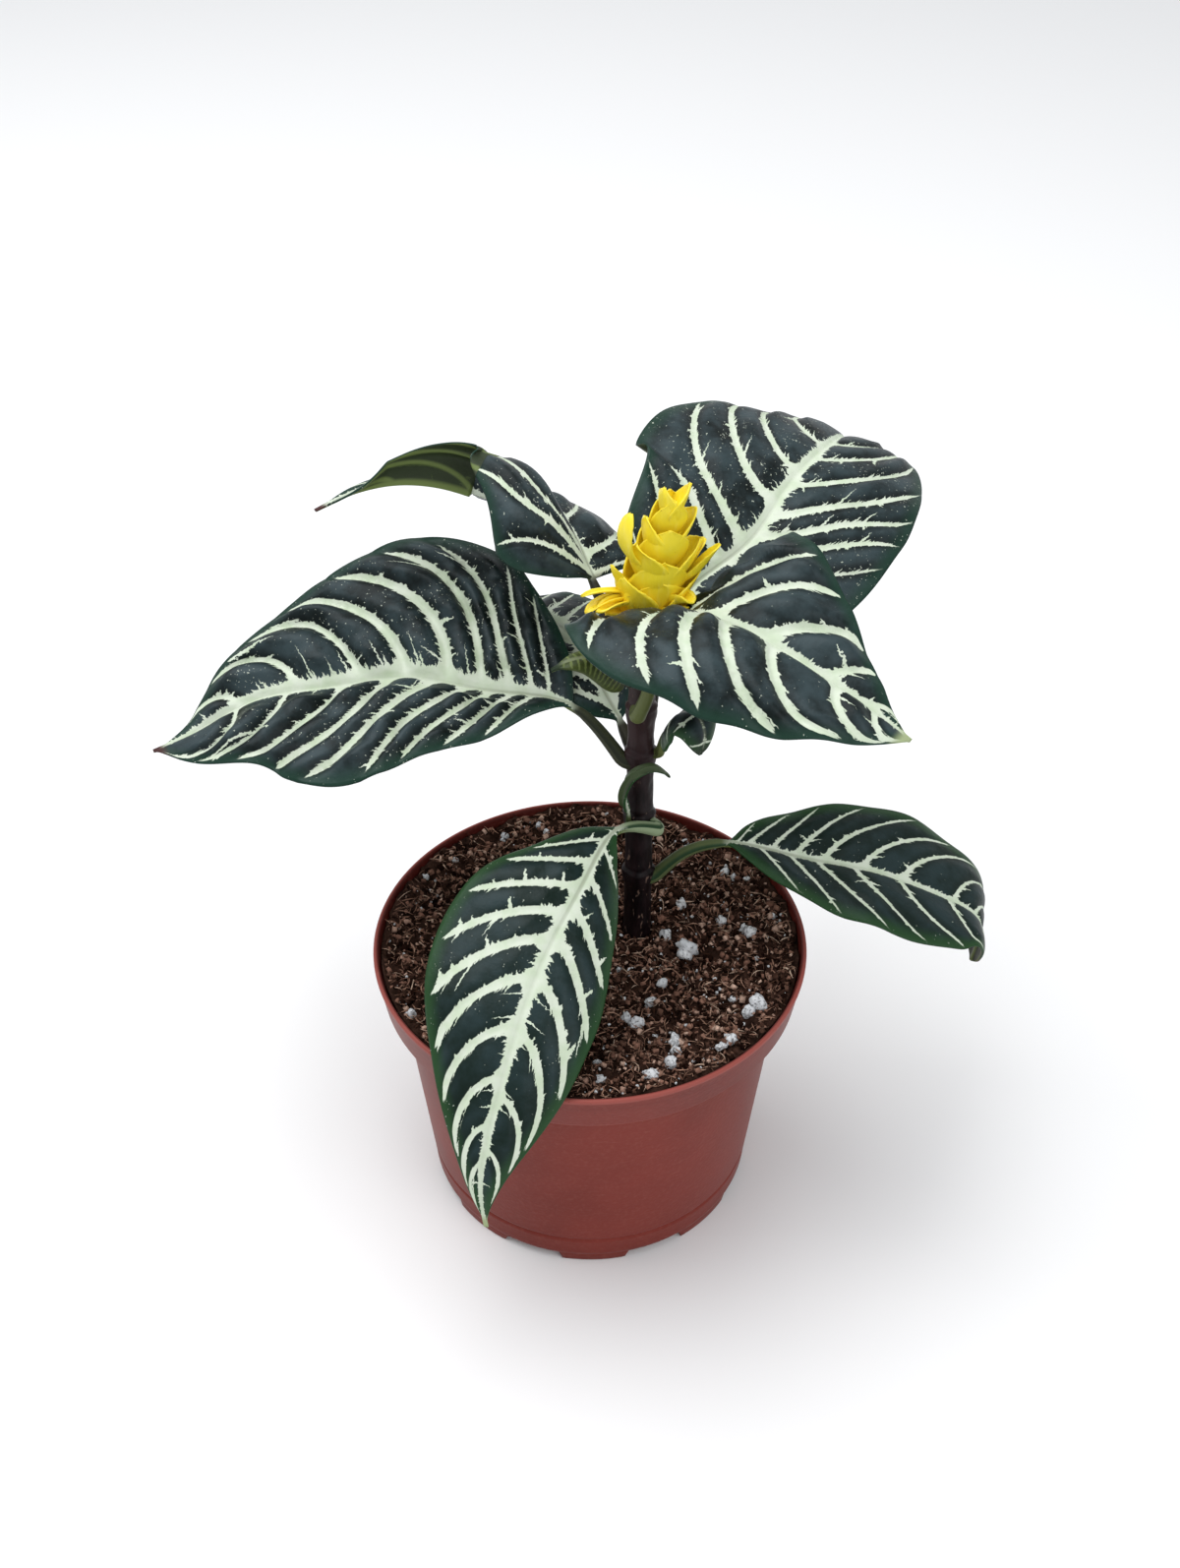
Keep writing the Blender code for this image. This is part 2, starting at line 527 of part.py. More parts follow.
LEAVES = {
    "leaf_left": {
        "start": (175, 137.5), "stations": 26,
        "rib": [(-4, 18, 148), (-27, 27, 147), (-48, 32, 147.5), (-69, 32, 144.5), (-90, 29, 142),
                (-104, 23, 137), (-116, 18, 134)],
        "stalk": 0.13, "left_width": 36, "right_width": 43,
        "left_shape": (1.1, 1.0), "right_shape": (0.95, 1.7),
        "left_faces": [265, 268, 275], "left": [(10, -20), (5, -25), (0, -20)],
        "right": [(45, 20), (42, 12), (30, 10)], "waves": 5, "wave": 0.9,
    },
    "leaf_back_right": {
        "start": (62, 151.5), "stations": 26,
        "rib": [(25.6, 37, 172), (41, 47, 180), (51, 60.5, 187), (58, 72, 189), (66, 87, 187),
                (72.5, 103, 180), (77, 114, 168)],
        "stalk": 0.14, "left_width": 41, "right_width": 35,
        "left_shape": (0.55, 1.0), "right_shape": (0.62, 0.8),
        "left_faces": [150, 145, 145], "left": [(55, 42), (22, 2), (5, -20)],
        "right": [(0, -30), (-5, -28), (10, -10)], "waves": 5, "wave": 0.9,
    },
    "leaf_right": {
        "start": (-100, 152.5), "stations": 26,
        "rib": [(14.5, 3.5, 163.5), (17, 3.5, 178), (21.5, 0.5, 188), (29, -8, 194), (39, -16, 194.4),
                (51, -24, 191), (62, -31, 187), (73.4, -38, 181)],
        "stalk": 0.24, "left_width": 33, "right_width": 34,
        "left_shape": (0.5, 1.4), "right_shape": (0.28, 0.95),
        "left_faces": [10, 15, 45, 60, 60], "left": [(20, 0), (25, 12), (10, 0)],
        "right": [(5, -10), (42, -65), (10, -30), (10, -25)], "waves": 5, "wave": 0.9,
    },
    "leaf_front": {
        "start": (-55, 117.0), "stations": 26,
        "rib": [(9.3, 3.0, 120), (0, -12.7, 119), (-11, -34, 110), (-18.7, -51.5, 98), (-24.8, -65.5, 81),
                (-27.5, -74, 65), (-26.4, -77, 55)],
        "stalk": 0.08, "left_width": 20, "right_width": 27,
        "left_shape": (1.2, 1.3), "right_shape": (1.0, 1.6),
        "left_faces": [-10, -22, -20], "left": [(-10, -60), (-10, -50), (0, -30)],
        "right": [(15, -10), (15, -10), (10, -10)], "waves": 4, "wave": 0.5,
    },
    "leaf_low_right": {
        "start": (2, 97.0), "stations": 24,
        "rib": [(27, 12, 104), (37.4, 12, 106.6), (57, 11, 102.5), (75.4, 9, 99.6), (96.2, 5, 93.5),
                (107, 2, 86.5), (105.4, -2, 76)],
        "stalk": 0.2, "left_width": 24, "right_width": 21,
        "left_shape": (0.8, 0.65), "right_shape": (0.8, 0.65),
        "left_faces": [90, 90, 90], "left": [(20, 0), (20, 0), (10, -10)],
        "right": [(5, -10), (5, -15), (0, -20)], "waves": 4, "wave": 0.5,
    },
    "leaf_back_left": {
        "start": (115, 166.0), "stations": 34, "columns": 5,
        "rib": [(1.7, 24, 180.5), (-3.3, 36, 187.7), (-8, 43, 190.5), (-16.4, 51, 190.5), (-26, 57, 187.5),
                (-36, 60, 189), (-59, 54, 192.6), (-71, 46, 191)],
        "stalk": 0.2, "left_width": 29, "right_width": 16,
        "left_shape": (0.55, 1.7), "right_shape": (0.5, 1.0),
        "left_faces": [250, 250, 250, 262, 280],
        "left": [(10, -60), (70, -75), (135, -20), (115, 60), (95, 75), (90, 70)],
        "right": [(5, -10), (-10, -50), (-30, -25), (-30, 0), (-30, -10)], "waves": 3, "wave": 0.3,
    },
    "leaf_behind": {
        "start": (125, 139.5), "stations": 20,
        "rib": [(6.5, 22, 144.2), (2.6, 28, 149), (-1.6, 38, 152), (-8.8, 50, 152.3), (-16.4, 62, 149.6),
                (-26, 76, 142)],
        "stalk": 0.08, "left_width": 17, "right_width": 17,
        "left_shape": (0.7, 0.9), "right_shape": (0.7, 0.9),
        "left_faces": [215, 215, 215], "left": [(0, -20), (0, -20), (0, -20)],
        "right": [(20, 0), (10, -5), (0, -10)], "waves": 4, "wave": 0.6,
    },
    "leaf_young_left": {
        "start": (215, 163.0), "stations": 14,
        "rib": [(7.1, 4, 168.3), (4.1, 2, 173.3), (-0.5, 0, 177.0), (-5.5, -2, 177.4), (-9.6, -3, 175.5)],
        "stalk": 0.15, "left_width": 2.2, "right_width": 2.6,
        "left_shape": (0.6, 1.0), "right_shape": (0.6, 1.0),
        "left_faces": [285, 285, 285], "left": [(-20, -60)], "right": [(30, 0)], "waves": 2, "wave": 0.0,
    },
    "leaf_under_right": {
        "start": (-20, 140.5), "stations": 18,
        "rib": [(18.9, 5, 148.3), (20.6, 1, 156), (23.2, -2, 162), (26.2, -5, 163.5), (28.1, -8, 161),
                (27.6, -9, 153.6)],
        "stalk": 0.3, "left_width": 8, "right_width": 7,
        "left_shape": (0.5, 0.9), "right_shape": (0.5, 0.9),
        "left_faces": [60, 50, 40], "left": [(0, -40)], "right": [(0, -50)], "waves": 2, "wave": 0.2,
    },
    "leaf_curl": {
        "start": (235, 118.5), "stations": 16,
        "rib": [(9.9, 4.6, 124.5), (9.2, 4.4, 129), (9.7, 4.0, 133.8), (11.7, 3.0, 138.0), (15.5, 4, 139.2),
                (18.4, 6, 136.5), (20.4, 8.5, 132.5)],
        "stalk": 0.15, "left_width": 1.4, "right_width": 1.4,
        "left_shape": (0.5, 0.9), "right_shape": (0.5, 0.9),
        "left_faces": [200, 250, 300], "left": [(60, 20)], "right": [(-30, -60)], "waves": 2, "wave": 0.0,
    },
}


def make_leaves(group):
    """Every leaf from its own row of sizes, starting just off the stem."""
    dark = material("leaf", (0.022, 0.060, 0.030), 0.35)
    for name, row in LEAVES.items():
        leaf = dict(row)
        leaf["stalk_radius"] = STALK_RADII.get(name, PETIOLE_RADIUS)
        leaf["rib"] = [on_stem(*row["start"], leaf["stalk_radius"], row["rib"][0])] + row["rib"]
        points, faces = leaf_solid(leaf, leaf["stations"], leaf.get("columns", HALF_COLUMNS))
        add_object(name, mesh_from(name, points, faces), dark, group)


def bract_solid(height, azimuth, length, width, flare, core):
    """A bract: a curved plate that rises from the core, hugs the spike and turns out to a blunt tip.

    Its middle line runs outward by the flare while it rises, with a bulge on the way. Across,
    it follows an arc of BRACT_BEND, and the same grid is laid again inside it at the bract's thickness.
    """
    u = np.linspace(0.0, 1.0, BRACT_ROWS)[:, None]
    w = np.linspace(-1.0, 1.0, BRACT_COLUMNS)[None, :]
    lean = math.radians(flare)
    reach = core + length * (math.sin(lean) * u + BRACT_BULGE * np.sin(np.pi * u))
    rise = height + length * math.cos(lean) * u
    half = np.maximum(width / 2 * half_width(0.06 + 0.93 * u, *BRACT_SHAPE), BRACT_TIP)
    turn = half * w / BRACT_BEND
    skins = []
    for inset in (0.0, BRACT_THICKNESS):
        out = reach - inset - BRACT_BEND * (1 - np.cos(turn))
        aside = (BRACT_BEND - inset) * np.sin(turn)
        skins.append(np.stack([out, aside, rise + 0.0 * w], -1))
    ring = np.concatenate([skins[0], skins[1][:, ::-1]], axis=1)
    spin = math.radians(azimuth)
    x = ring[..., 0] * math.cos(spin) - ring[..., 1] * math.sin(spin)
    y = ring[..., 0] * math.sin(spin) + ring[..., 1] * math.cos(spin)
    around = ring.shape[1]
    faces = [tuple(range(around - 1, -1, -1)), tuple((BRACT_ROWS - 1) * around + k for k in range(around))]
    for i in range(BRACT_ROWS - 1):
        for k in range(around):
            a, b = i * around + k, i * around + (k + 1) % around
            faces += [(a, b, a + around), (b, b + around, a + around)]
    return np.stack([x, y, ring[..., 2]], -1).reshape(-1, 3), faces


def spike_place(points):
    """Leans points about the flower's foot and sets them on the stem."""
    x, y, z = np.asarray(points).T
    return np.stack([x + STEM_X + FLOWER_LEAN * z / FLOWER_HEIGHT, y + STEM_Y, z + STEM_TOP + GAP], -1)


def make_flower(group):
    """The flower: bracts in crossed pairs up a slim core, fused into one body."""
    sides = CORE_SIDES
    turn = np.linspace(0.0, 2 * np.pi, sides, endpoint=False)
    rows = [np.stack([r * np.cos(turn), r * np.sin(turn), np.full(sides, z)], -1)
            for r, z in zip(CORE_RADII[1:-1], CORE_LEVELS[1:-1])]
    points = np.concatenate([[[0.0, 0.0, CORE_LEVELS[0]]], *rows, [[0.0, 0.0, CORE_LEVELS[-1]]]])
    top = len(points) - 1
    faces = []
    for k in range(sides):
        n = (k + 1) % sides
        faces.append((0, 1 + n, 1 + k))
        for i in range(len(rows) - 1):
            row = 1 + i * sides
            faces.append((row + k, row + n, row + sides + n, row + sides + k))
        faces.append((top, top - sides + k, top - sides + n))
    finish = material("bracts", (0.72, 0.50, 0.02), 0.5)
    flower = add_object("flower", mesh_from("flower", spike_place(points), faces), finish, group)

    rows = []
    for tier in range(BRACT_TIERS):
        share = tier / (BRACT_TIERS - 1)
        height = BRACT_FOOT + BRACT_RISE * tier
        length = BRACT_LENGTH[0] + (BRACT_LENGTH[1] - BRACT_LENGTH[0]) * share
        width = BRACT_WIDTH[0] + (BRACT_WIDTH[1] - BRACT_WIDTH[0]) * share
        sideways = tier % 2
        flare = (SIDE_FLARE if sideways else FRONT_FLARE) * (1 - 0.5 * share)
        azimuth = FRONT_BRACT_DEGREES + 90 * sideways
        rows += [(height, azimuth, length, width, flare), (height, azimuth + 180, length, width, flare)]
    bracts = []
    for number, (height, azimuth, length, width, flare) in enumerate([*rows, *LOOSE_BRACTS]):
        core = float(np.interp(height, CORE_LEVELS, CORE_RADII)) - BRACT_SINK
        points, faces = bract_solid(height, azimuth, length, width, flare, core)
        name = f"bract_{number + 1}"
        bracts.append(bpy.data.objects.new(name, mesh_from(name, spike_place(points), faces)))
    fuse(flower, bracts)


def main():
    for old in list(bpy.data.objects):
        bpy.data.objects.remove(old)
    plant = collection("zebra_plant")
    cutters = collection("cutters")
    make_pot(plant, cutters)
    make_soil(plant, cutters)
    make_stem(plant)
    make_flower(plant)
    make_leaves(plant)


main()
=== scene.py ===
# %% [markdown]
# # A zebra plant in a plastic grow pot
# The plant is a potted one from a nursery: a brick-red grow pot full of peat and perlite, one dark stem,
# quilted leaves with cream veins, and a yellow spike of bracts. Its plain solids are loaded first, and each
# step below then gives one of them its real surface. Lengths are worked out in millimetres about the
# pot's own axis, because a plant is measured from its pot, and are turned into Blender's metres at the end.

# %% Load the plain solids
import math

import bpy
import numpy as np
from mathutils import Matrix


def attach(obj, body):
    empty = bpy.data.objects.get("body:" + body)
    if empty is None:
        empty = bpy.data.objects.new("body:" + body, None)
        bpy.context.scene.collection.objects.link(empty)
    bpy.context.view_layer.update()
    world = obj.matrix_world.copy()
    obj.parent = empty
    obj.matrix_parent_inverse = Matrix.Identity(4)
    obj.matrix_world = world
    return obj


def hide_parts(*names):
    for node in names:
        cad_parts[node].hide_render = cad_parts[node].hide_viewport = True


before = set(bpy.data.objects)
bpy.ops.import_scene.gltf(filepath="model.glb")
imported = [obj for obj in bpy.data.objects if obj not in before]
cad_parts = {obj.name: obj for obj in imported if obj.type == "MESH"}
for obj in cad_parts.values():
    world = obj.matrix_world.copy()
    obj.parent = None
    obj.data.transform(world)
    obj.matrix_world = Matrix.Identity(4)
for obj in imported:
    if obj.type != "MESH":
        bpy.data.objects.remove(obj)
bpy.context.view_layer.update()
print("solids:", ", ".join(sorted(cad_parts)))

# %% [markdown]
# ## Sizes that the whole plant shares
# The pot's axis is not at the origin, because the origin is the bottom centre of the whole plant's box and
# the leaves reach further back than forward. POT_AXIS says where it is. The other values are the real
# sizes that more than one piece needs.

# %% Shared sizes
MM = 0.001
POT_AXIS = (2.8, -18.5)
POT_HEIGHT = 82.4
RIM_RADIUS = 59.5
RIM_WALL = 1.6
COLLAR_DEPTH = 12.2
COLLAR_TAPER = 2.2
COLLAR_STEP = 4.4
LEDGE_HEIGHT = 1.4
BODY_WALL = 1.5
BASE_RADIUS = 46.1
CORNER_RADIUS = 2.5
FOOT_HEIGHT = 3.0
FOOT_RADIUS = 45.6
FOOT_WALL = 3.4
STEM_X = 13.2
STEM_Y = 11.0
STEM_FOOT = 46.0
STEM_TOP = 178.0
STEM_FOOT_RADIUS = 3.9
STEM_TOP_RADIUS = 3.1
NODE_HEIGHTS = (97.0, 117.0, 138.0, 152.5)
NODE_SWELLING = 0.7
NODE_REACH = 3.2
STALK_FOOT = 1.15
GAP = 0.3

# %% [markdown]
# ## Turning arrays into pieces
# Every new piece is worked out as whole numpy arrays: a grid of points, and the faces between them. Helpers
# join a grid's points into four-sided faces and close tubes at both ends. The last one makes the mesh, moves
# it from the pot's axis to the plant's frame, and says which plain solid it stands for.


# %% Helpers for grids and pieces
RIPPLE_SHRINK = 1.6


def circle(count):
    """Even turns round a full circle, in radians."""
    return np.linspace(0, 2 * np.pi, count, endpoint=False)


def rings(radius, turn, height, centre=(0.0, 0.0)):
    """Points round an upright axis: x and y are the radius times the turn's cosine and sine."""
    x, y = centre[0] + radius * np.cos(turn), centre[1] + radius * np.sin(turn)
    return np.stack(np.broadcast_arrays(x, y, height), -1)


def grid_quads(rows, columns, wrap):
    """Four-sided faces of a grid of points counted row by row: each joins a point to the next one in its
    row and to the two above. With wrap, the last column joins the first."""
    i = np.arange(rows - 1)[:, None]
    k = np.arange(columns if wrap else columns - 1)[None, :]
    a = i * columns + k
    b = i * columns + (k + 1) % columns
    return np.stack([a, b, b + columns, a + columns], -1).reshape(-1, 4)


def tube_faces(rows, around, number=1, first=0, flip=False):
    """Faces of a number of equal tubes whose points are counted ring by ring: four-sided walls, then the two
    ends of each. With flip they point the other way."""
    shift = first + rows * around * np.arange(number)[:, None, None]
    k = np.arange(around)
    walls = (grid_quads(rows, around, True) + shift).reshape(-1, 4)
    ends = (np.stack([k[::-1], (rows - 1) * around + k]) + shift).reshape(-1, around)
    order = -1 if flip else 1
    return [*walls[:, ::order].tolist(), *ends[:, ::order].tolist()]


def make_piece(name, points, faces, finishes, solids=()):
    """A mesh object from points in millimetres about the pot's axis, riding on the plant's one body."""
    mesh = bpy.data.meshes.new(name)
    placed = (np.asarray(points, float).reshape(-1, 3) + (*POT_AXIS, 0.0)) * MM
    mesh.from_pydata(placed.tolist(), [], faces)
    mesh.shade_smooth()
    for finish in finishes:
        mesh.materials.append(finish)
    piece = bpy.data.objects.new(name, mesh)
    bpy.context.scene.collection.objects.link(piece)
    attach(piece, "root")
    if solids:
        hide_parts(*solids)
    print(f"{name}: {len(mesh.polygons)} faces")
    return piece


def ripples(x, y, size, seed, waves=24):
    """Soft random bumps between about -1 and 1: the sum of many flat waves, each with a seeded heading and
    start, and with a length near the size given."""
    draw = np.random.default_rng(seed)
    heading = draw.uniform(0, 2 * np.pi, waves)
    length = size * draw.uniform(0.7, 1.6, waves)
    start = draw.uniform(0, 2 * np.pi, waves)
    total = np.zeros(np.broadcast(x, y).shape)
    for turn, span, shift in zip(heading, length, start):
        total += np.cos(2 * np.pi * (x * np.cos(turn) + y * np.sin(turn)) / span + shift)
    usual_height = math.sqrt(waves / 2)
    return total / usual_height / RIPPLE_SHRINK


# %% [markdown]
# ## Building materials from nodes
# A material here is a Principled shader whose colour, roughness and bump come from small networks of
# nodes. Writing each node out takes many lines, so a Value stands for what one node gives out, and
# arithmetic on it adds the next node. A pattern is then written as a formula. A value that is the same all
# over stays on the shader's own socket.


# %% Values and finishes
def add_node(tree, kind, inputs, output=0, **settings):
    """Adds a node, sets its options, and links or sets each of its inputs. Returns its output as a Value."""
    node = tree.nodes.new(kind)
    for option, setting in settings.items():
        setattr(node, option, setting)
    for key, value in inputs.items():
        if isinstance(value, Value):
            tree.links.new(value.socket, node.inputs[key])
        else:
            node.inputs[key].default_value = value
    return Value(node.outputs[output])


def place_from(*values):
    """A place made of values, for noise to be read at."""
    return add_node(values[0].tree, "ShaderNodeCombineXYZ", dict(enumerate(values)))


class Value:
    """A number, place or colour that the shader works out at every point. Arithmetic on it adds a node."""

    def __init__(self, socket):
        self.socket = socket
        self.tree = socket.id_data

    def calc(self, operation, *others, clamp=False):
        """One step of arithmetic that starts from this value."""
        inputs = dict(enumerate((self, *others)))
        return add_node(self.tree, "ShaderNodeMath", inputs, operation=operation, use_clamp=clamp)

    def __add__(self, other):
        return self.calc("ADD", other)

    def __sub__(self, other):
        return self.calc("SUBTRACT", other)

    def __mul__(self, other):
        return self.calc("MULTIPLY", other)

    def __abs__(self):
        return self.calc("ABSOLUTE")

    def largest(self, other):
        return self.calc("MAXIMUM", other)

    def scaled(self, factor, shift):
        """This value times the factor, plus the shift."""
        return self.calc("MULTIPLY_ADD", factor, shift)

    def ramp(self, low, high, start=0.0, end=1.0):
        """Goes smoothly from start to end while this value goes from low to high."""
        inputs = {"Value": self, "From Min": low, "From Max": high, "To Min": start, "To Max": end}
        return add_node(self.tree, "ShaderNodeMapRange", inputs, "Result", interpolation_type="SMOOTHSTEP")

    def noise(self, scale, detail=2.0, roughness=0.5):
        """Cloudy noise read at this place, from 0 to 1 about a middle of 0.5."""
        inputs = {"Vector": self, "Scale": scale, "Detail": detail, "Roughness": roughness}
        return add_node(self.tree, "ShaderNodeTexNoise", inputs, "Fac")

    def blend(self, first, second):
        """Mixes two colours, with this value as the share of the second."""
        first, second = (c if isinstance(c, Value) else (*c, 1.0) for c in (first, second))
        return add_node(self.tree, "ShaderNodeMix", {0: self, 6: first, 7: second}, 2, data_type="RGBA")

    def parts(self, kind="ShaderNodeSeparateXYZ"):
        """The parts of a place or a colour, as values of their own."""
        node = add_node(self.tree, kind, {0: self}).socket.node
        return [Value(socket) for socket in node.outputs]


class Finish:
    """A material with one Principled shader, and what its patterns read."""

    def __init__(self, name, colour, roughness, specular=0.5):
        self.material = bpy.data.materials.new(name)
        self.material.use_nodes = True
        self.tree = self.material.node_tree
        self.inputs = self.tree.nodes["Principled BSDF"].inputs
        self.inputs["Base Color"].default_value = (*colour, 1.0)
        self.inputs["Roughness"].default_value = roughness
        self.inputs["Specular IOR Level"].default_value = specular

    def place(self, stretch=(1.0, 1.0, 1.0), shift=(0.0, 0.0, 0.0)):
        """The point's own place on the plant in metres, stretched along each axis and then shifted."""
        inputs = {"Vector": add_node(self.tree, "ShaderNodeTexCoord", {}, "Object"), "Location": shift,
                  "Scale": stretch}
        return add_node(self.tree, "ShaderNodeMapping", inputs)

    def height(self):
        """The point's height on the plant in metres."""
        return self.place().parts()[2]

    def attribute(self, name, output="Fac"):
        """A value that the mesh carries."""
        return add_node(self.tree, "ShaderNodeAttribute", {}, output, attribute_name=name)

    def link(self, key, value):
        """Lets a value drive one of the shader's sockets."""
        self.tree.links.new(value.socket, self.inputs[key])

    def bump(self, height, distance, strength=1.0):
        """Fine relief from a height between 0 and 1, as deep as the distance in metres."""
        inputs = {"Height": height, "Distance": distance, "Strength": strength}
        self.link("Normal", add_node(self.tree, "ShaderNodeBump", inputs, "Normal"))


# %% [markdown]
# ## The shape of a leaf
# A leaf is a strip of surface laid along a curved midrib. The midrib is a smooth curve through a few
# points in space. At each place on it the blade runs out to the left and to the right, and its slope turns
# evenly from the slope at the midrib to the slope at the margin, as a bent card does. That keeps the blade's
# width true however much it folds, and a leaf that twists over needs no special case.


# %% Curves that the leaves need
FINE_STEPS = 2000


def smooth_knots(knots, at):
    """A smooth curve through equally spaced values, read at places from 0 to 1 (Catmull-Rom)."""
    knots = np.atleast_1d(np.asarray(knots, float))
    if len(knots) == 1:
        return np.full(np.shape(at), knots[0])
    spans = len(knots) - 1
    place = np.clip(at, 0.0, 1.0) * spans
    i = np.minimum(place.astype(int), spans - 1)
    u = place - i
    k = np.concatenate([[2 * knots[0] - knots[1]], knots, [2 * knots[-1] - knots[-2]]])
    a, b, c, d = k[i], k[i + 1], k[i + 2], k[i + 3]
    return b + 0.5 * u * ((c - a) + u * ((2 * a - 5 * b + 4 * c - d) + u * (3 * b - a - 3 * c + d)))


def rib_line(points, count):
    """Even stations along the natural cubic through the points, the unit direction at each, and the length.

    Between two points the cubic is the straight mix of both, plus a bend that is zero at both ends. The
    bends solve one row of equations for each inner point, so that slopes and curvatures agree there."""
    points = np.asarray(points, float)
    knots = np.concatenate([[0.0], np.cumsum(np.linalg.norm(np.diff(points, axis=0), axis=1))])
    step = np.diff(knots)
    size = len(points)
    system = np.zeros((size, size))
    right = np.zeros((size, 3))
    system[0, 0] = system[-1, -1] = 1.0
    for i in range(1, size - 1):
        system[i, i - 1:i + 2] = step[i - 1], 2 * (step[i - 1] + step[i]), step[i]
        right[i] = 6 * ((points[i + 1] - points[i]) / step[i] - (points[i] - points[i - 1]) / step[i - 1])
    bend = np.linalg.solve(system, right)

    def read(at):
        i = np.clip(np.searchsorted(knots, at, side="right") - 1, 0, size - 2)
        h = step[i][:, None]
        before = (knots[i + 1] - at)[:, None]
        after = (at - knots[i])[:, None]
        return (bend[i] * before ** 3 + bend[i + 1] * after ** 3) / (6 * h) + (
            (points[i] / h - bend[i] * h / 6) * before + (points[i + 1] / h - bend[i + 1] * h / 6) * after)

    fine = np.linspace(0.0, knots[-1], FINE_STEPS)
    curve = read(fine)
    run = np.concatenate([[0.0], np.cumsum(np.linalg.norm(np.diff(curve, axis=0), axis=1))])
    stations = np.linspace(0.0, run[-1], count)
    middle = np.stack([np.interp(stations, run, curve[:, axis]) for axis in range(3)], -1)
    ahead = np.gradient(middle, axis=0)
    ahead /= np.linalg.norm(ahead, axis=1)[:, None]
    return middle, ahead, run[-1]


def half_width(s, fullness, taper):
    """A half leaf's width along it, 1 at its widest: s^fullness times (1 - s)^taper, over its peak."""
    peak = fullness / (fullness + taper)
    s = np.clip(s, 0.0, 1.0)
    return (s / peak) ** fullness * ((1 - s) / (1 - peak)) ** taper


def across(width, rib_slope, edge_slope, v):
    """How far out and how high a half blade is at the share v of its width, with its slope turning evenly
    from the midrib's to the margin's: the sums of the slope's cosine and sine along the way."""
    start = np.radians(rib_slope)
    turn = np.radians(edge_slope) - start
    turn = np.where(np.abs(turn) < 1e-4, 1e-4, turn)
    run = width / turn * (np.sin(start + turn * v) - np.sin(start))
    rise = width / turn * (np.cos(start) - np.cos(start + turn * v))
    return run, rise


def stem_radius(height):
    """The stem's radius at a height: an even taper, with a swelling round each node."""
    share = np.clip((height - STEM_FOOT) / (STEM_TOP - STEM_FOOT), 0.0, 1.0)
    radius = STEM_FOOT_RADIUS + (STEM_TOP_RADIUS - STEM_FOOT_RADIUS) * share
    for node in NODE_HEIGHTS:
        radius = radius + NODE_SWELLING * np.exp(-((height - node) / NODE_REACH) ** 2)
    return radius


def on_stem(heading, height, radius, towards):
    """Where a stalk starts, so that its slanting end stays GAP off the stem's skin."""
    turn = math.radians(heading)
    out = np.array([math.cos(turn), math.sin(turn), 0.0])
    axis = np.array([STEM_X, STEM_Y, height])
    skin = float(stem_radius(np.array([height]))[0])
    reach = skin + GAP + radius
    for _ in range(3):
        ahead = np.asarray(towards, float) - axis - out * reach
        slant = float(ahead @ out) / float(np.linalg.norm(ahead))
        reach = skin + GAP + 0.1 + STALK_FOOT * radius * math.sqrt(1 - slant ** 2)
    return tuple(axis + out * reach)


# %% [markdown]
# ## Ten leaves, each with its own measurements
# No two leaves of a plant match, so each has its own row here: where its stalk leaves the stem (heading
# and height), the points of its midrib, how wide each half is, how the halves slope, and how its veins
# run. A heading of 0 points to the viewer's right, and -90 points at the viewer. "Left" is the half on the
# left of someone who walks along the midrib from stalk to tip. Each side vein is given as the share of the
# blade's length where it leaves the midrib, the share where it meets the margin, and half its width in
# millimetres. The bend says how late on its way it turns towards the tip. Pairs are for the left and the
# right half, and a slope is a pair of degrees: at the midrib and at the margin.


# %% The measurements of the leaves
def even_veins(number, sweep, half_wide):
    """Side veins at even steps, for the small leaves and the one that hides behind the others."""
    return [(start, start + sweep * (1 - start), half_wide) for start in np.linspace(0.06, 0.86, number)]


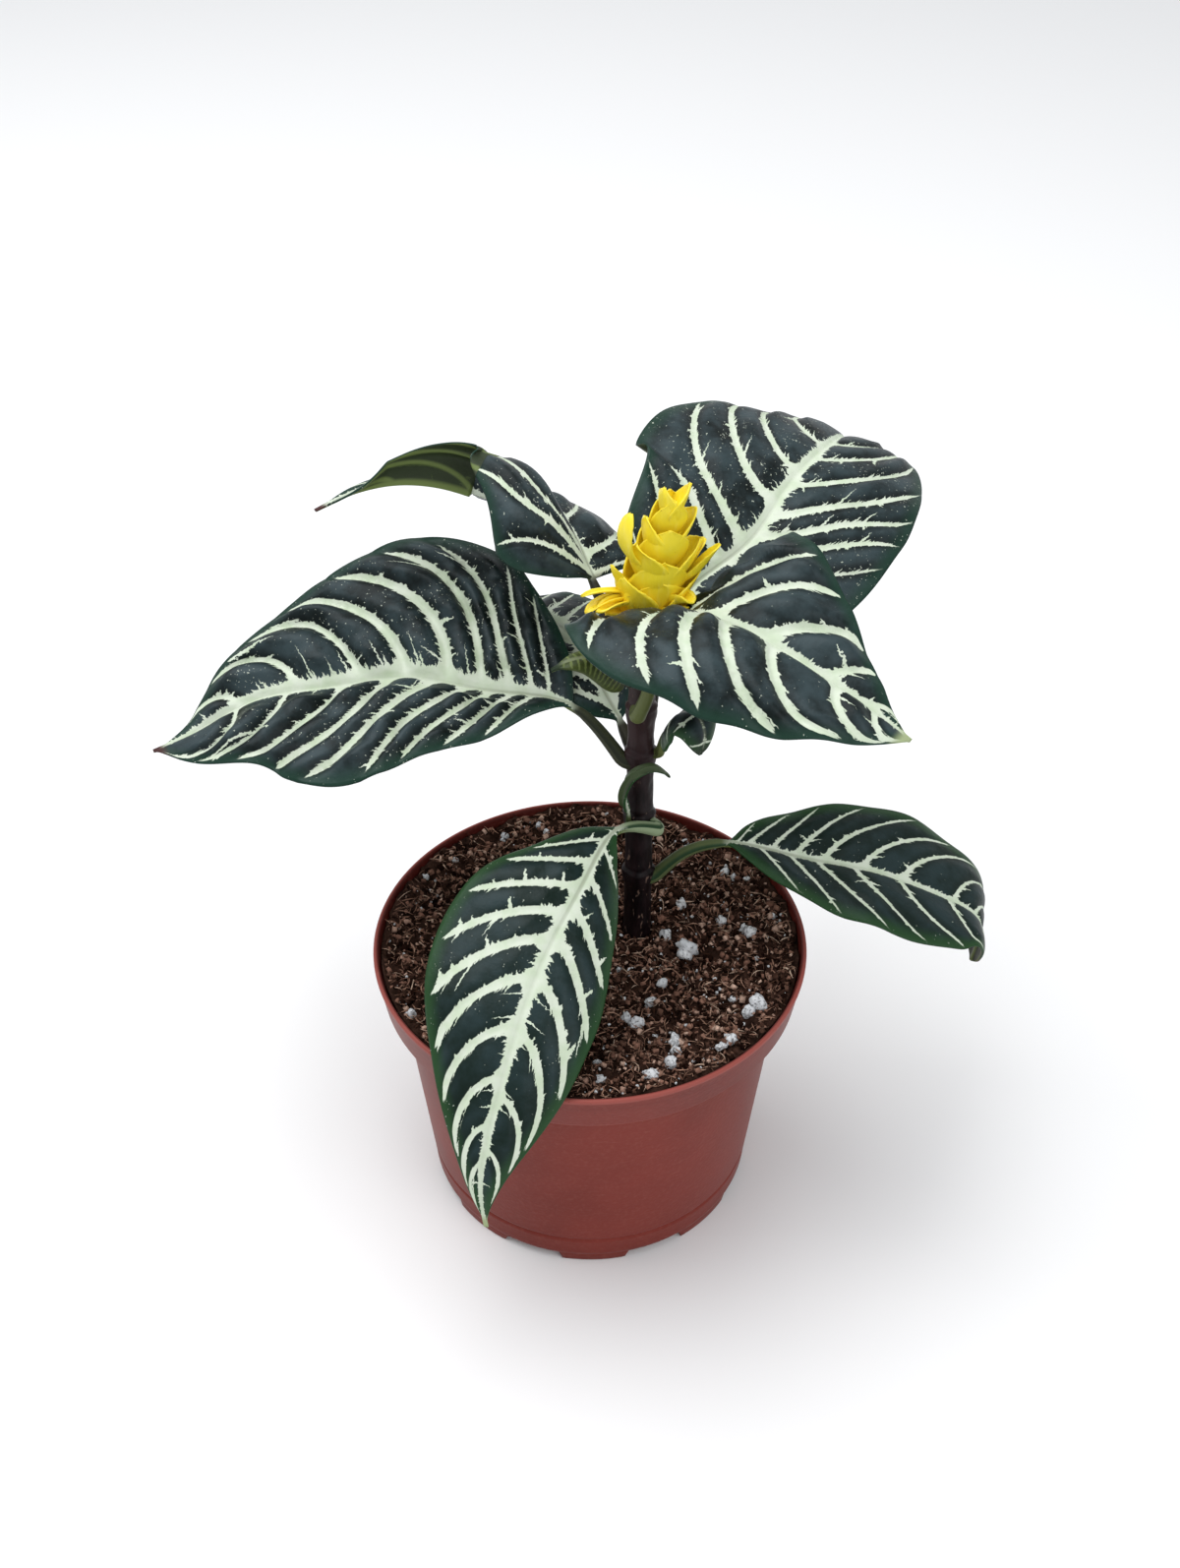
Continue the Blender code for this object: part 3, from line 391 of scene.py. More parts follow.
LEAVES = {
    "leaf_left": {
        "start": (175, 137.5), "stalk_radius": 1.6, "stalk": 0.13, "quilt": 2.8, "wave": 0.5, "waves": 5,
        "width": (36, 43), "shape": ((1.1, 1.0), (0.95, 1.7)), "bend": (1.4, 1.7), "band": (1.0, 3.2),
        "reach": 0.95,
        "rib": [(-4, 18, 148), (-27, 27, 147), (-48, 32, 147.5), (-69, 32, 144.5), (-90, 29, 142),
                (-104, 23, 137), (-116, 18, 134)],
        "left_faces": [265, 268, 275],
        "slopes": ([(10, -20), (5, -25), (0, -20)], [(45, 20), (42, 12), (30, 10)]),
        "veins": ([(0.09, 0.17, 0.6), (0.14, 0.25, 0.8), (0.19, 0.36, 0.85), (0.25, 0.5, 0.95),
                   (0.33, 0.66, 1.1), (0.43, 0.77, 1.1), (0.54, 0.87, 0.8), (0.67, 0.94, 0.55),
                   (0.79, 0.98, 0.45)],
                  [(0.06, 0.16, 0.4), (0.1, 0.27, 0.55), (0.155, 0.4, 0.9), (0.225, 0.47, 1.0),
                   (0.305, 0.57, 1.35), (0.4, 0.68, 1.3), (0.505, 0.75, 0.85), (0.65, 0.83, 0.9),
                   (0.78, 0.9, 0.7)]),
    },
    "leaf_back_right": {
        "start": (62, 151.5), "stalk_radius": 1.6, "stalk": 0.14, "quilt": 1.1, "wave": 0.4, "waves": 5,
        "width": (41, 35), "shape": ((0.75, 1.1), (0.62, 0.8)), "bend": (1.7, 1.3), "band": (1.6, 1.4),
        "rib": [(25.6, 37, 172), (41, 47, 180), (51, 60.5, 187), (58, 72, 189), (66, 87, 187),
                (72.5, 103, 180), (77, 114, 168)],
        "left_faces": [150, 145, 145],
        "slopes": ([(50, 37), (32, 14), (17, -1), (5, -20)], [(0, -30), (-5, -28), (10, -10)]),
        "veins": ([(0.06, 0.12, 0.5), (0.12, 0.21, 0.9), (0.2, 0.34, 1.15), (0.27, 0.6, 1.3),
                   (0.4, 0.73, 1.2), (0.51, 0.86, 1.0), (0.66, 0.95, 0.7)],
                  [(0.1, 0.26, 0.6), (0.22, 0.38, 0.6), (0.27, 0.46, 0.95), (0.3, 0.56, 1.15),
                   (0.36, 0.67, 1.15), (0.46, 0.8, 0.85), (0.58, 0.9, 0.65), (0.69, 0.95, 0.5)]),
    },
    "leaf_right": {
        "start": (-97, 156.0), "stalk_radius": 1.7, "stalk": 0.22, "quilt": 1.9, "wave": 0.6, "waves": 5,
        "width": (33, 34), "shape": ((0.5, 1.4), (0.28, 0.78)), "bend": (1.1, 1.7), "band": (1.2, 1.2),
        "reach": 0.95,
        "rib": [(14.5, 3.5, 163.5), (17, 3.5, 178), (21.5, 0.5, 188), (29, -8, 194),
                (39, -16, 194.4), (51, -24, 191), (62, -31, 187), (73.4, -38, 181)],
        "left_faces": [10, 15, 45, 60, 60],
        "slopes": ([(20, 0), (25, 12), (10, 0)], [(3, 7), (35, -46), (10, -32), (10, -25)]),
        "veins": ([(0.16, 0.48, 0.7), (0.3, 0.6, 1.0), (0.48, 0.75, 1.3), (0.7, 0.81, 0.9),
                   (0.84, 0.93, 0.6)],
                  [(0.03, 0.22, 0.9), (0.2, 0.37, 1.15), (0.29, 0.5, 1.4), (0.37, 0.72, 1.25),
                   (0.52, 0.87, 1.25), (0.74, 0.95, 1.1), (0.87, 0.985, 0.7)]),
    },
    "leaf_front": {
        "start": (-55, 117.0), "stalk_radius": 1.6, "stalk": 0.08, "quilt": 0.6, "wave": 0.5, "waves": 4,
        "width": (20, 29), "shape": ((1.2, 1.3), (1.0, 1.6)), "bend": (1.8, 1.5), "band": (1.3, 1.3),
        "reach": 0.93,
        "rib": [(9.3, 3.0, 120), (0, -12.7, 119), (-11, -34, 110), (-18.7, -51.5, 98),
                (-24.8, -65.5, 81), (-27.5, -74, 65), (-26.4, -77, 55)],
        "left_faces": [-10, -22, -20],
        "slopes": ([(-10, -60), (-10, -50), (0, -30)], [(15, -10), (15, -10), (10, -10)]),
        "veins": ([(0.08, 0.16, 0.45), (0.17, 0.28, 0.7), (0.25, 0.4, 1.0), (0.33, 0.55, 1.1),
                   (0.43, 0.7, 1.05), (0.55, 0.83, 0.9), (0.69, 0.88, 0.7), (0.81, 0.94, 0.5)],
                  [(0.06, 0.15, 0.5), (0.13, 0.21, 0.75), (0.2, 0.32, 0.95), (0.27, 0.43, 1.1),
                   (0.34, 0.55, 1.15), (0.43, 0.66, 1.1), (0.54, 0.76, 1.05), (0.65, 0.85, 0.85),
                   (0.755, 0.91, 0.65), (0.84, 0.95, 0.45)]),
    },
    "leaf_low_right": {
        "start": (2, 97.0), "stalk_radius": 1.6, "stalk": 0.2, "quilt": 0.5, "wave": 0.5, "waves": 4,
        "width": (24, 21), "shape": ((0.8, 0.65), (0.8, 0.65)), "bend": (1.6, 1.4), "band": (0.8, 0.35),
        "rib": [(27, 12, 104), (37.4, 12, 106.6), (57, 11, 102.5), (75.4, 9, 99.6),
                (96.2, 5, 93.5), (107, 2, 86.5), (105.4, -2, 76)],
        "left_faces": [90],
        "slopes": ([(20, 0), (20, 0), (10, -10)], [(5, -10), (5, -15), (0, -20)]),
        "veins": ([(0.03, 0.09, 0.3), (0.065, 0.2, 0.45), (0.145, 0.3, 0.5), (0.225, 0.44, 0.6),
                   (0.315, 0.6, 0.65), (0.44, 0.74, 0.65), (0.57, 0.83, 0.65), (0.75, 0.88, 0.5),
                   (0.83, 0.94, 0.4)],
                  [(0.1, 0.24, 0.5), (0.2, 0.39, 0.55), (0.29, 0.56, 0.6), (0.41, 0.69, 0.6),
                   (0.56, 0.83, 0.6), (0.73, 0.92, 0.5), (0.86, 0.98, 0.4)]),
    },
    "leaf_back_left": {
        "start": (115, 166.0), "stalk_radius": 1.6, "stalk": 0.2, "quilt": 1.0, "wave": 0.3, "waves": 3,
        "width": (29, 20), "shape": ((0.42, 1.6), (0.3, 1.4)), "bend": (1.2, 1.3), "band": (0.5, 0.8),
        "rib": [(1.7, 24, 180.5), (-3.3, 36, 187.7), (-8, 43, 190.5), (-16.4, 51, 190.5),
                (-26, 57, 187.5), (-36, 60, 189), (-59, 54, 192.6), (-71, 46, 191)],
        "left_faces": [250, 250, 250, 262, 280],
        "slopes": ([(10, -60), (70, -75), (135, -20), (115, 60), (95, 75), (90, 70)],
                   [(25, 10), (-8, -46), (-30, -25), (-30, 0), (-30, -10)]),
        "veins": ([(0.0, 0.18, 0.7), (0.02, 0.4, 0.95), (0.06, 0.6, 1.0), (0.3, 0.75, 0.8),
                   (0.52, 0.86, 0.7), (0.75, 0.94, 0.5)],
                  [(0.0, 0.06, 0.7), (0.07, 0.17, 0.9), (0.2, 0.32, 0.6), (0.34, 0.5, 0.6),
                   (0.55, 0.7, 0.6), (0.75, 0.88, 0.5)]),
    },
    "leaf_behind": {
        "start": (125, 139.5), "stalk_radius": 1.6, "stalk": 0.08, "quilt": 0.7, "wave": 0.6, "waves": 4,
        "width": (17, 17), "shape": ((0.7, 0.9), (0.7, 0.9)), "bend": (1.2, 1.2), "band": (2.0, 2.0),
        "rib": [(6.5, 22, 144.2), (2.6, 28, 149), (-1.6, 38, 152), (-8.8, 50, 152.3),
                (-16.4, 62, 149.6), (-26, 76, 142)],
        "left_faces": [215],
        "slopes": ([(0, -20)], [(20, 0), (10, -5), (0, -10)]),
        "veins": [even_veins(8, 0.2, 0.75)] * 2,
    },
    "leaf_young_left": {
        "start": (215, 163.0), "stalk_radius": 0.9, "stalk": 0.15, "quilt": 0.0, "wave": 0.0, "waves": 2,
        "width": (6.2, 2.8), "shape": ((0.6, 1.0), (0.6, 1.0)), "bend": (1.0, 1.0), "band": (0.2, 0.2),
        "rib": [(7.1, 4, 168.3), (4.1, 2, 173.3), (-0.5, 0, 177.0), (-5.5, -2, 177.4),
                (-9.6, -3, 175.5)],
        "left_faces": [285],
        "slopes": ([(-20, -60)], [(30, 0)]),
        "veins": [even_veins(12, 0.12, 0.34)] * 2,
    },
    "leaf_under_right": {
        "start": (-20, 140.5), "stalk_radius": 1.1, "stalk": 0.3, "quilt": 0.3, "wave": 0.2, "waves": 2,
        "width": (8, 10.5), "shape": ((0.5, 0.9), (0.5, 0.8)), "bend": (1.2, 1.2), "band": (-0.4, -0.4),
        "rib": [(18.9, 5, 148.3), (20.6, 1, 156), (23.2, -2, 162), (26.2, -5, 163.5),
                (28.1, -8, 161), (27.6, -9, 153.6)],
        "left_faces": [60, 50, 40],
        "slopes": ([(0, -40)], [(0, -60)]),
        "veins": [even_veins(4, 0.1, 0.28)] * 2,
    },
    "leaf_curl": {
        "start": (235, 118.5), "stalk_radius": 0.7, "stalk": 0.15, "quilt": 0.0, "wave": 0.0, "waves": 2,
        "width": (1.8, 1.8), "shape": ((0.5, 0.9), (0.5, 0.9)), "bend": (1.0, 1.0), "band": (0.65, 0.65),
        "rib": [(9.9, 4.6, 124.5), (9.2, 4.4, 129), (9.7, 4.0, 133.8), (11.7, 3.0, 138.0),
                (15.5, 4, 139.2), (18.4, 6, 136.5), (20.4, 8.5, 132.5)],
        "left_faces": [200, 250, 300],
        "slopes": ([(60, 20)], [(-30, -60)]),
        "veins": [even_veins(3, 0.2, 0.05)] * 2,
    },
}
SMALL_LEAF_WIDTH = 10
BIG_LEAVES = [name for name, leaf in LEAVES.items() if leaf["width"][0] > SMALL_LEAF_WIDTH]
print("big leaves:", ", ".join(BIG_LEAVES))

# %% [markdown]
# ## Where the veins run
# Each side vein leaves the midrib, sweeps towards the tip and ends near the margin. Instead of drawing each
# one, the blade carries a count that is a whole number on a vein and in between elsewhere, like the lines of
# latitude on a globe. The distance to the nearest vein then comes from that count alone, and both the
# puffed quilting of the blade and the cream colour can follow it exactly.


# %% The vein count of a half blade
END_STEP = 0.08
LEAST_STEP = 0.012
MOST_PAST_END = 0.48
LEAST_WIDTH = 0.6
FOLD_WIDTH = 6.0
WAVE_WIDTH = 12.0
WAVE_START = 1.6


def vein_count(s, v, veins, bend):
    """The count at the share s of the blade and v of its width: a whole number on each vein, and even
    shares between two. A vein goes from its start to its end by v^bend of the way. Before the first and
    after the last, the count stops short of another half step, so that no vein appears there."""
    starts, ends = np.array(veins)[:, 0], np.array(veins)[:, 1]
    lines = starts + (ends - starts) * v[..., None] ** bend
    passed = (s[..., None] - lines[..., :-1]) / np.maximum(np.diff(lines, axis=-1), LEAST_STEP)
    before = np.clip((s - lines[..., 0]) / END_STEP, -MOST_PAST_END, 0.0)
    after = np.clip((s - lines[..., -1]) / END_STEP, 0.0, MOST_PAST_END)
    return np.clip(passed, 0.0, 1.0).sum(-1) + before + after


def half_blade(leaf, half, s, v, middle, out, up):
    """One half of the blade on a grid, the left one for half = 0: its points and, at each, the vein count and
    the distances from the midrib and from the margin. Rows run along the leaf, and columns from v = 1 at the
    margin to 0 at the midrib."""
    width = leaf["width"][half] * half_width(s, *leaf["shape"][half])[:, None]
    width = np.maximum(width, LEAST_WIDTH)
    rib_slope, edge_slope = (smooth_knots([knot[end] for knot in leaf["slopes"][half]], s)[:, None]
                             for end in (0, 1))
    fold = np.clip((width - LEAST_WIDTH) / min(FOLD_WIDTH, 0.7 * width.max()), 0.0, 1.0)
    run, rise = across(width, rib_slope * fold, edge_slope * fold, v)
    wave = leaf["wave"] * np.sin(2 * np.pi * leaf["waves"] * s + WAVE_START * half)
    rise = rise + wave[:, None] * v ** 2 * np.clip(width / WAVE_WIDTH, 0.0, 1.0)
    sign = 1 - 2 * half
    points = middle[:, None] + sign * out[:, None] * run[..., None] + up[:, None] * rise[..., None]
    count = vein_count(s[:, None], v, leaf["veins"][half], leaf["bend"][half])
    return points, count, width * v, width * (1 - v)


def mesh_step(points, value):
    """How many millimetres of surface one whole step of a value takes: 1 over the size of its gradient,
    worked out from the grid's own edges, so that it is right on a bent and stretched grid too."""
    along, over = np.gradient(points, axis=0), np.gradient(points, axis=1)
    value_along, value_over = np.gradient(value, axis=0), np.gradient(value, axis=1)
    aa, oo, ao = (along ** 2).sum(-1), (over ** 2).sum(-1), (along * over).sum(-1)
    area = np.maximum(aa * oo - ao ** 2, 1e-9)
    slope = (oo * value_along ** 2 - 2 * ao * value_along * value_over + aa * value_over ** 2) / area
    return 1 / np.sqrt(np.maximum(slope, 1e-4))


# %% [markdown]
# ## From half blades to a leaf with two faces
# A real blade puffs up between its veins, sinks in along them, and has a thick rib underneath. The grid is
# doubled into an upper and an under side, and near the stalk both are drawn into a round petiole, so that
# stalk and blade are one closed skin. The vein count and its distances go into the mesh as attributes of
# the face corners, because the two halves disagree about the count along the midrib, where they meet. The
# sizes below are in millimetres, and a share is a part of the leaf's length or of its half width.

# %% One leaf
BLADE_THICKNESS = 0.8
RIB_THICKNESS = 1.9
RIB_REACH = 0.12
THIN_MARGIN = 0.45
CHANNEL_DEPTH = 0.45
CHANNEL_REACH = 1.1
CREASE_SHARE = 0.55
CREASE_SIZE = 9.0
CALM_BY_RIB = 7.0
CALM_BY_RIM = 6.0
SHARED_NORMAL = 1.2
MARGIN_CROWDING = 1.25
STALK_NARROWING = 0.35
TIP_CLOSING = 0.35
VEIN_FOOT = 1.12
VEIN_SPACING = (0.5, 30.0)
FULL_QUILT_SPACING = 6.0
JOIN_SHARE = 0.10
TIP_SHARE = 0.03
HEEL_RINGS = 8
HEEL_HANDLE = 2.2
HEEL_FLARE = 0.3


def unit(vectors):
    """The vectors made 1 long."""
    return vectors / np.maximum(np.linalg.norm(vectors, axis=-1, keepdims=True), 1e-9)


def half_values(leaf, half, s, v, points, count):
    """The values that the pattern reads on one half: how far apart the veins are, half the width of the
    nearest vein, and half the width of the pale band along the midrib, all in mm."""
    spacing = np.clip(mesh_step(points, count), *VEIN_SPACING)
    widths = [vein[2] for vein in leaf["veins"][half]]
    reach = leaf.get("reach", 1.0)
    fall, end = (0.7, 0.14) if reach == 1.0 else (0.4, 0.08)
    taper = (VEIN_FOOT - fall * v) * np.clip((reach - v) / end, 0.0, 1.0)
    vein = np.interp(count, np.arange(len(widths)), widths) * taper
    ends = np.clip(np.sin(np.pi * np.clip(s, 0, 1) ** 0.75), 0.12, 1.0)[:, None]
    band = leaf["band"][half] * ends + 0.2 * leaf["stalk_radius"]
    return {"spacing": spacing, "vein": vein, "band": band + 0 * v}


def quilting(leaf, s, count, from_rib, from_rim, spacing, seed):
    """How far the blade rises off its smooth form in mm: it puffs up by a sine between two veins, with random
    creases, lies calm at both ends, and sinks into a channel along the midrib."""
    between = np.abs(count - np.round(count)) * 2
    puff = np.sin(np.pi / 2 * np.clip(between, 0, 1)) ** 0.8
    crease = 1 + CREASE_SHARE * ripples(from_rib, 3.0 * count, CREASE_SIZE, seed + 20)
    room = np.clip(from_rib / CALM_BY_RIB, 0.0, 1.0) * np.clip(from_rim / CALM_BY_RIM, 0.15, 1.0)
    calm = np.clip(s * 8, 0.0, 1.0)[:, None] * np.clip((1 - s) * 6, 0.0, 1.0)[:, None]
    relief = leaf["quilt"] * (puff - 0.4) * crease * room * calm
    relief = relief * np.clip(spacing / FULL_QUILT_SPACING, 0.2, 1.3)
    channel = -CHANNEL_DEPTH * np.exp(-(from_rib / CHANNEL_REACH) ** 2)
    return relief + channel * np.clip(s * 10, 0.0, 1.0)[:, None]


def leaf_points(leaf, rows, columns, seed):
    """The ring of points round each station of a leaf, and the values that its faces carry."""
    rib = [on_stem(*leaf["start"], leaf["stalk_radius"], leaf["rib"][0])] + leaf["rib"]
    middle, ahead, length = rib_line(rib, rows)
    t = np.linspace(0.0, 1.0, rows)
    s = (t - leaf["stalk"]) / (1 - leaf["stalk"])
    facing = np.radians(smooth_knots(leaf["left_faces"], t))
    out = np.stack([np.cos(facing), np.sin(facing), np.zeros(rows)], -1)
    out = unit(out - (out * ahead).sum(1)[:, None] * ahead)
    up = np.cross(ahead, out)

    v = np.linspace(1.0, 0.0, columns + 1)[None, :] ** MARGIN_CROWDING
    halves = []
    for half in (0, 1):
        points, count, from_rib, from_rim = half_blade(leaf, half, s, v, middle, out, up)
        halves.append({"points": points, "count": count, "rib": from_rib, "rim": from_rim,
                       "along": (s * length)[:, None] + 0 * v, "to_tip": ((1 - t) * length)[:, None] + 0 * v,
                       **half_values(leaf, half, s, v, points, count)})

    def both(key):
        return np.concatenate([halves[0][key], halves[1][key][:, -2::-1]], axis=1)

    blade, from_rib = both("points"), both("rib")
    share = np.concatenate([v, -v[:, -2::-1]], axis=1)
    normal = unit(np.cross(np.gradient(blade, axis=1), np.gradient(blade, axis=0)))
    normal *= np.sign((normal[:, columns] * up).sum(1))[:, None, None]
    middle_way = unit(normal[:, columns - 5] + normal[:, columns + 5])
    share_up = np.exp(-(from_rib / SHARED_NORMAL) ** 2)[..., None]
    normal = unit(normal * (1 - share_up) + middle_way[:, None] * share_up)
    raised = quilting(leaf, s, both("count"), from_rib, both("rim"), both("spacing"), seed)
    blade = blade + normal * raised[..., None]

    thick = BLADE_THICKNESS + (RIB_THICKNESS * (1 - t)[:, None] - 0.2) * np.exp(-(share / RIB_REACH) ** 2)
    slim = 1 - THIN_MARGIN * np.abs(share) ** 10
    top = blade + normal * (BLADE_THICKNESS / 2 * slim)[..., None]
    under = blade - normal * ((thick - BLADE_THICKNESS / 2) * slim)[..., None]

    wide = 2 * columns + 1
    narrowed = STALK_NARROWING * np.clip(t / leaf["stalk"], 0.0, 1.0)
    radius = leaf["stalk_radius"] * (STALK_FOOT - narrowed)[:, None]
    angle = np.pi * ((np.arange(wide) + 0.5) / wide)[None, :]
    spread = out[:, None] * (radius * np.cos(angle))[..., None]
    lift = up[:, None] * (radius * np.sin(angle))[..., None]
    blend = np.clip(s / JOIN_SHARE + 0.5, 0.0, 1.0)[:, None, None]
    blend = blend * blend * (3 - 2 * blend)
    top = (middle[:, None] + spread + lift) * (1 - blend) + top * blend
    under = (middle[:, None] + spread - lift) * (1 - blend) + under * blend
    close = np.clip((t - 1 + TIP_SHARE) / TIP_SHARE, 0.0, 1.0)[:, None, None] * TIP_CLOSING
    centre = (top + under) / 2
    top, under = top + (centre - top) * close, under + (centre - under) * close
    ring = np.concatenate([top, under[:, ::-1]], axis=1)
    heel = stalk_heel(leaf, middle[0], ahead[0], out[0], angle[0])
    for half in halves:
        for key, grid in half.items():
            half[key] = np.concatenate([np.repeat(grid[:1], len(heel), axis=0), grid])
    return np.concatenate([heel, ring]), halves, length


def stalk_heel(leaf, start, ahead, out, angle):
    """Rings that carry the stalk's end round a bend and into the stem, where the plain solid stops short. The
    bend is (1-q)^2 of a point in the stem, 2q(1-q) of the handle and q^2 of the stalk's start."""
    q = np.linspace(0.0, 1.0, HEEL_RINGS, endpoint=False)[:, None]
    inside = np.array([STEM_X, STEM_Y, start[2] - 1.0])
    handle = start - HEEL_HANDLE * leaf["stalk_radius"] * ahead
    centre = (1 - q) ** 2 * inside + 2 * q * (1 - q) * handle + q ** 2 * start
    along = unit((1 - q) * (handle - inside) + q * (start - handle))
    aside = unit(out - (along @ out)[:, None] * along)
    lift = np.cross(along, aside)
    radius = leaf["stalk_radius"] * STALK_FOOT * (1 + HEEL_FLARE - HEEL_FLARE * q)
    turned = np.concatenate([angle, -angle[::-1]])
    spread = aside[:, None] * np.cos(turned)[None, :, None] + lift[:, None] * np.sin(turned)[None, :, None]
    return centre[:, None] + radius[:, :, None] * spread


def corner_values(halves, key, columns):
    """A value at the four corners of each face round the ring, read from the half that the face is on."""
    k = np.arange(4 * columns + 2)
    column = np.where(k <= 2 * columns, k, 4 * columns + 1 - k)
    ahead = np.roll(column, -1)
    on_right = np.maximum(column, ahead) > columns
    left, right = halves[0][key], halves[1][key][:, ::-1]
    here, there = (np.where(on_right, right[:, np.clip(at - columns, 0, columns)],
                            left[:, np.clip(at, 0, columns)]) for at in (column, ahead))
    return np.stack([here[:-1], there[:-1], there[1:], here[1:]], -1).reshape(-1)


def make_leaf(name, leaf, rows, columns, finishes, seed):
    """The whole leaf as one closed mesh, with its vein attributes on the corners of its faces."""
    ring, halves, length = leaf_points(leaf, rows, columns, seed)
    rows, around = ring.shape[:2]
    piece = make_piece("dressed_" + name, ring, tube_faces(rows, around), finishes, (name,))
    below = np.zeros((rows - 1, around), np.int32)
    below[:, 2 * columns + 1:around - 1] = 1
    piece.data.polygons.foreach_set("material_index", np.concatenate([below.ravel(), [0, 0]]))
    on_ends = np.zeros(2 * around)
    layers = {"vein_place": ("count", "rib", "along"), "vein_size": ("spacing", "vein", "band"),
              "rim": ("rim",), "to_tip": ("to_tip",)}
    for layer, keys in layers.items():
        values = [np.concatenate([corner_values(halves, key, columns), on_ends]) for key in keys]
        kind, field = ("FLOAT_VECTOR", "vector") if len(keys) == 3 else ("FLOAT", "value")
        carried = piece.data.attributes.new(layer, kind, "CORNER")
        carried.data.foreach_set(field, np.stack(values, -1).ravel())
    print(f"  {length:.0f} mm long")


# %% [markdown]
# ## The zebra pattern
# The cream of a zebra plant follows the veins, but its edge is torn into thorns: many short ones, and here
# and there a long one that is a veinlet of its own. The shader takes the distance to the nearest vein from
# the vein count. The edge is then cut into cells, and each cell holds one thorn whose place and length are
# drawn from the cell's number. The pale band along the midrib is torn in the same way.


# %% The pattern as nodes
VEIN_THORNS = ((0.8, 0.34, 0.9), (2.4, 0.42, 1.5), (9.5, 0.42, 5.5))
RIB_THORNS = ((0.85, 0.4, 1.2), (2.1, 0.5, 2.2), (5.2, 0.36, 8.0))
THORN_LEAN = 0.45


def thorns(run, out, pitch, base, longest, own):
    """How far a torn edge reaches out at each point, in mm. Every pitch along the run holds one thorn, a
    triangle with a base of its own half width that leans forward. Most are short, by the cube of a draw."""
    place = out.scaled(-THORN_LEAN, run).calc("DIVIDE", pitch)
    cell = place.calc("FLOOR")
    lot = {"Vector": place_from(cell, own, pitch)}
    dice = add_node(run.tree, "ShaderNodeTexWhiteNoise", lot, "Color", noise_dimensions="3D")
    dice = dice.parts("ShaderNodeSeparateColor")
    away = abs(place - cell - dice[0].scaled(0.4, 0.3))
    slope = away.calc("MULTIPLY_ADD", -pitch / base, 1.0, clamp=True)
    return slope * (dice[1].calc("POWER", 3.0) * longest)


def torn_edge(run, out, size, own, layers):
    """The furthest of several layers of thorns, each given as its pitch, base and longest thorn in mm."""
    first, *others = [thorns(run, out, pitch, base, size * longest, own) for pitch, base, longest in layers]
    reach = first.largest(0.0)
    for layer in others:
        reach = reach.largest(layer)
    return reach


def vein_pattern(finish, seed):
    """The share of cream at a point, and its distances from the midrib, along the midrib and from the
    nearest vein in mm. A point is cream where its distance is less than the band plus the torn edge."""
    count, rib, along = finish.attribute("vein_place", "Vector").parts()
    spacing, vein, band = finish.attribute("vein_size", "Vector").parts()
    nearest = count.calc("ROUND")
    aside = (count - nearest) * spacing
    off = abs(aside)
    own = nearest.scaled(7.31, aside.calc("SIGN").scaled(0.37, seed))
    ruffle = finish.place().noise(900.0, 2.0, 0.6) - 0.5

    along_vein = place_from(rib, own)
    wobble, jitter = along_vein.noise(0.3), along_vein.noise(2.4, 3.0, 0.7)
    half = vein * wobble.scaled(0.7, 0.65) + (jitter - 0.5) * 0.55
    tear = torn_edge(ruffle.scaled(1.6, rib), off, vein.ramp(0.15, 0.9, 0.2, 1.0), own, VEIN_THORNS)
    on_vein = (off - (half + tear)).ramp(-0.12, 0.1, 1.0, 0.0) * vein.ramp(0.04, 0.2)

    flare = (off - vein).ramp(0.0, 2.0, 1.5, 0.0) * vein.ramp(0.2, 1.3)
    own = count.calc("SIGN").scaled(0.1, seed + 3.3)
    wobble = place_from(along, own).noise(0.9, 4.0, 0.7)
    half = band * wobble.scaled(1.3, 0.3) + flare
    tear = torn_edge(ruffle.scaled(2.0, along), rib, band.ramp(0.3, 3.5, 0.3, 1.6), own, RIB_THORNS)
    on_rib = (rib - (half + tear)).ramp(-0.15, 0.12, 1.0, 0.0)
    return on_vein.largest(on_rib), rib, along, off


def fleck_pattern(finish, amount):
    """The share of pale flecks: the peaks of a fine noise, in drifts that a coarse noise makes."""
    level = finish.place().noise(85.0).scaled(-0.24, 0.86 - 0.045 * amount)
    return (finish.place().noise(1250.0, 2.0, 0.6) - level).ramp(0.0, 0.03)


# %% [markdown]
# ## The blade's colours, with a painted sheen
# The upper face is a green so dark that it looks black, with a painted slate sheen in cloudy patches between
# the veins and painted shade next to each vein, and is greener towards the margin and on the two smooth low
# leaves. The under side is a dull olive with yellow-green veins. Both take the same pattern. The stalk has no
# pattern: it is brown or olive, and darker along its sides. Colours are given as linear shares of red, green
# and blue.


# %% Leaf finishes
LEAF_GLOSS = 0.34


